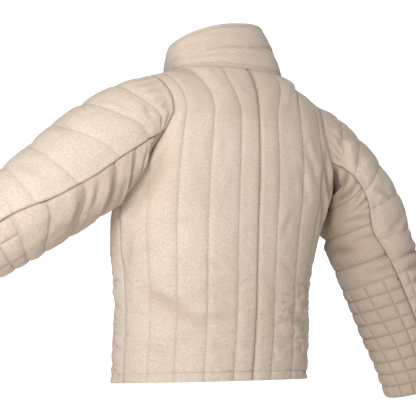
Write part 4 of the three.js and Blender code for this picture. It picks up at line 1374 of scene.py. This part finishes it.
@dataclass
class Collar:
    """The padded stand collar, topstitched along its top edge and its base."""

    top_stitch: float = 93.0
    base_stitch: float = 6.5
    crown: float = 3.0
    folds: float = 1.8
    fold_shade: float = 0.13
    lap: float = 2.6
    degree: float = 1.95
    name: str = "collar"

    def __post_init__(self) -> None:
        """Works out the collar's form and its grid."""
        self.form = CollarForm()
        back, front = BACK_STITCHES[1], FRONT_STITCHES[2]
        quarter = np.sin(np.linspace(0, math.pi / 2, 42))
        half = np.concatenate(
            [back * quarter, 1 - (1 - front) * quarter[-2::-1], np.linspace(1, 1 + LAP, 10)[1:]])
        self.columns = np.concatenate([-half[:0:-1], half])
        self.rows = clustered([0, 0.07, 0.93, 1], 100, 3.2)

    def run(self, share: Array) -> Array:
        """The length along the collar from the centre back, for its flat map."""
        size = np.abs(share)
        degrees = BodyForm(Side.LEFT).neck_degrees(size)
        past = np.maximum(size - 1, 0) * HALF_GIRTH
        return np.sign(share) * (np.minimum(degrees, 180) * self.degree + past)

    def relief(self, share: Array, up: Array) -> Array:
        """How far the outer face stands from the form."""
        u, v = self.run(share), up * 100
        heights = (0.0, 0.08, 0.3, 0.52, 0.58, 0.8, 0.93, 1.0)
        lifts = Track(heights, (0.2, 0.6, 1.0, 0.95, 0.8, 1.0, 0.5, 0.3)).at(up)
        soft = 1.0 * SoftNoise(60, 60, 30).at(u, v) + 0.5 * SoftNoise(61, 30, 12).at(u, v)
        held = smoothstep(v, 0, 14) * smoothstep(100 - v, 2, 14)
        lift = self.crown * lifts - 0.4 + (soft + self.folds * crease_lift(COLLAR_CREASES, u, v)) * held
        lift -= 2.2 * bell(v - self.top_stitch, 1.5) + 1.9 * bell(v - self.base_stitch, 1.5)
        return lift - 1.2 * bell(100 - v, 2.0)

    def moved(self, share: Array, up: Array, lift: Array) -> Array:
        """Points of the collar; its lower edge laps a little over the panels' top edges."""
        points = self.form.point(share, up, lift)
        beside_neck = smoothstep(np.abs(np.cos(np.radians(self.run(share) / self.degree))), 0.75, 0.2)
        points[..., 2] -= self.lap * bell(up, 0.05) * (1 - 0.45 * beside_neck)
        return points

    def groove(self, share: Array, up: Array) -> Array:
        """How near a place is to a row of stitching, the base or a crease, as the depth of its painted shade.
        """
        v = up * 100
        folds = self.fold_shade * np.maximum(0, -crease_lift(COLLAR_CREASES, self.run(share), v))
        return (0.45 * np.exp(-np.abs(v - self.top_stitch) / 1.4)
                + 0.4 * np.exp(-np.abs(v - self.base_stitch) / 1.4) + 0.7 * np.exp(-v / 1.8) + folds)

    def build(self) -> bpy.types.Object:
        """Makes the collar."""
        return Shell(
            self.name + "_cloth", self.columns, self.rows,
            outer=lambda s, r: self.moved(s, r, self.relief(s, r)),
            inner=lambda s, r: self.moved(s, r, -WALL + (WALL + 0.3) * bell(r, 0.025)),
            flat=lambda s, r: np.stack([self.run(s), r * 100], axis=-1),
            groove=self.groove,
        ).build()

    def stitching(self, thread: Thread) -> bpy.types.Object:
        """Sews the rows along the top edge and the base."""
        share = self.columns[2:-2]
        rows = []
        for height in (self.top_stitch, self.base_stitch):
            level = np.full(share.shape, height / 100)
            points = self.moved(share, level, self.relief(share, level) + 0.1)
            outs = self.form.point(share, level, 1.0) - self.form.point(share, level, 0.0)
            rows.append((points, unit(outs)))
        return thread.sew(self.name + "_stitching", rows)


# ---- The jacket ----


@dataclass(frozen=True)
class Cut:
    """What a piece was cut from: the flat width and length in metres, and the cut's area in square metres."""

    width: float
    length: float
    area: float


@dataclass
class Jacket:
    """The whole garment: four body panels, four sleeve panels and the collar, with their stitching."""

    thread: Thread = field(default_factory=Thread)

    def build(self) -> None:
        """Builds and dresses each piece."""
        weave, tone = canvas_weave(), cloth_tone()
        # under is the darker canvas, painted shade for the under sleeve panels.
        shell, under, collar = (finish.material(weave, tone) for finish in (SHELL, UNDER, COLLAR))
        sewing = SEWING.material()
        for side in Side:
            for face in Face:
                self.fit(BodyPanel(side, face), shell, sewing)
            self.fit(SleevePanel(side, Part.OUTER), shell, sewing)
            self.fit(SleevePanel(side, Part.UNDER), under, sewing)
        self.fit(Collar(), collar, sewing)

    def fit(self, piece: BodyPanel | SleevePanel | Collar, material: bpy.types.Material,
            sewing: bpy.types.Material) -> None:
        """Builds one piece and its stitching in the place of its solid.

        Args:
            piece: the piece.
            material: its cloth.
            sewing: the thread's finish.
        """
        cloth = piece.build()
        cloth.data.materials.append(material)
        stitches = piece.stitching(self.thread)
        stitches.data.materials.append(sewing)
        for obj in (cloth, stitches):
            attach(obj, "root")
        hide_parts(piece.name)
        faces, sewn = len(cloth.data.polygons), len(stitches.data.polygons) // 6
        log.info("%s: %d faces, %d stitches", cloth.name, faces, sewn)


# ---- The studio ----


@dataclass(frozen=True)
class Lamp:
    """A soft square lamp: its place and aim in metres, its side, power and colour."""

    name: str
    place: tuple[float, float, float]
    aim: tuple[float, float, float]
    side: float
    power: float
    colour: tuple[float, float, float]


@dataclass
class Studio:
    """The camera, soft lamps and a plain pale floor."""

    camera_place: tuple[float, float, float] = (1.525, 2.348, -0.650)
    turn: float = 147.0
    swing: float = 0.725
    pitch: float = 7.59
    lens: float = 116.3
    floor: float = -1.05
    lamps: tuple[Lamp, ...] = (
        Lamp("key", (1.25, 1.4, 0.55), (0.05, 0.0, -0.3), 0.55, 33.0, (1.0, 0.99, 0.98)),
        Lamp("low", (1.7, 0.4, -0.9), (0.35, 0.0, -0.3), 0.9, 11.0, (0.97, 0.98, 1.0)),
    )

    def build(self) -> None:
        """Makes the floor, the lamps, the surroundings and the camera."""
        scene = bpy.context.scene
        scene.view_settings.view_transform = "Standard"
        self._paper("floor", (0.0, 0.0, self.floor), (0.0, 0.0, 0.0), 3.0, 0.25)
        self._paper("backdrop", (-3.2, -5.0, 0.5), (math.pi / 2, 0.0, math.radians(self.turn)), 1.7, 1.0)
        for lamp in self.lamps:
            self._lamp(lamp)
        world = bpy.data.worlds.new("studio")
        world.use_nodes = True
        world.node_tree.nodes["Background"].inputs[0].default_value = (1.0, 0.94, 0.88, 1)
        world.node_tree.nodes["Background"].inputs[1].default_value = 0.3
        scene.world = world
        self._camera()

    def _paper(self, name: str, place: tuple[float, float, float], turned: tuple[float, float, float],
               half: float, glow: float) -> None:
        """Lays or hangs a sheet of white paper.

        Args:
            name: the sheet's name.
            place: its middle, in metres.
            turned: its turns about X, Y and Z.
            half: half its side.
            glow: how brightly it is lit from behind.
        """
        bm = bmesh.new()
        bmesh.ops.create_grid(bm, x_segments=1, y_segments=1, size=half)
        matrix = Matrix.LocRotScale(Vector(place), Euler(turned), None)
        bmesh.ops.transform(bm, matrix=matrix, verts=bm.verts[:])
        paper = mesh_object(name, bm)
        material, shader = new_material(name + " paper")
        shader.inputs["Base Color"].default_value = (0.9, 0.9, 0.9, 1)
        shader.inputs["Roughness"].default_value = 0.9
        shader.inputs["Emission Color"].default_value = (1, 1, 1, 1)
        shader.inputs["Emission Strength"].default_value = glow
        paper.data.materials.append(material)

    def _lamp(self, lamp: Lamp) -> None:
        """Hangs one lamp."""
        data = bpy.data.lights.new(lamp.name, "AREA")
        data.shape, data.size, data.energy, data.color = "SQUARE", lamp.side, lamp.power, lamp.colour
        obj = link_new(lamp.name, data)
        obj.location = lamp.place
        obj.rotation_euler = (Vector(lamp.aim) - Vector(lamp.place)).to_track_quat("-Z", "Y").to_euler()

    def _camera(self) -> None:
        """Sets the camera up: turned about the jacket, swung a little aside and looking slightly up."""
        turn, swing, pitch = (math.radians(a) for a in (self.turn, self.swing, self.pitch))
        right = Vector((math.cos(turn), math.sin(turn), 0))
        ahead = Vector((-math.sin(turn), math.cos(turn), 0))
        level = ahead * math.cos(swing) - right * math.sin(swing)
        right = right * math.cos(swing) + ahead * math.sin(swing)
        forward = level * math.cos(pitch) + Vector((0, 0, math.sin(pitch)))
        up = right.cross(forward)
        data = bpy.data.cameras.new("camera")
        data.sensor_fit, data.sensor_width, data.lens = "HORIZONTAL", 36.0, self.lens
        obj = link_new("camera", data)
        matrix = Matrix((right, up, -forward)).transposed().to_4x4()
        matrix.translation = self.camera_place
        obj.matrix_world = matrix
        bpy.context.scene.camera = obj


def corners(bounds: Sequence[Sequence[float]]) -> list[list[float]]:
    """A box's two corners as plain lists of numbers."""
    return [[float(value) for value in corner] for corner in bounds]


def main() -> None:
    """Builds the studio and the jacket."""
    logging.basicConfig(level=logging.INFO, format="%(name)s: %(message)s")
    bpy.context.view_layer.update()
    Studio().build()
    Jacket().build()
    log.info("%d solids are dressed", len(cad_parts))


if __name__ == "__main__":
    main()
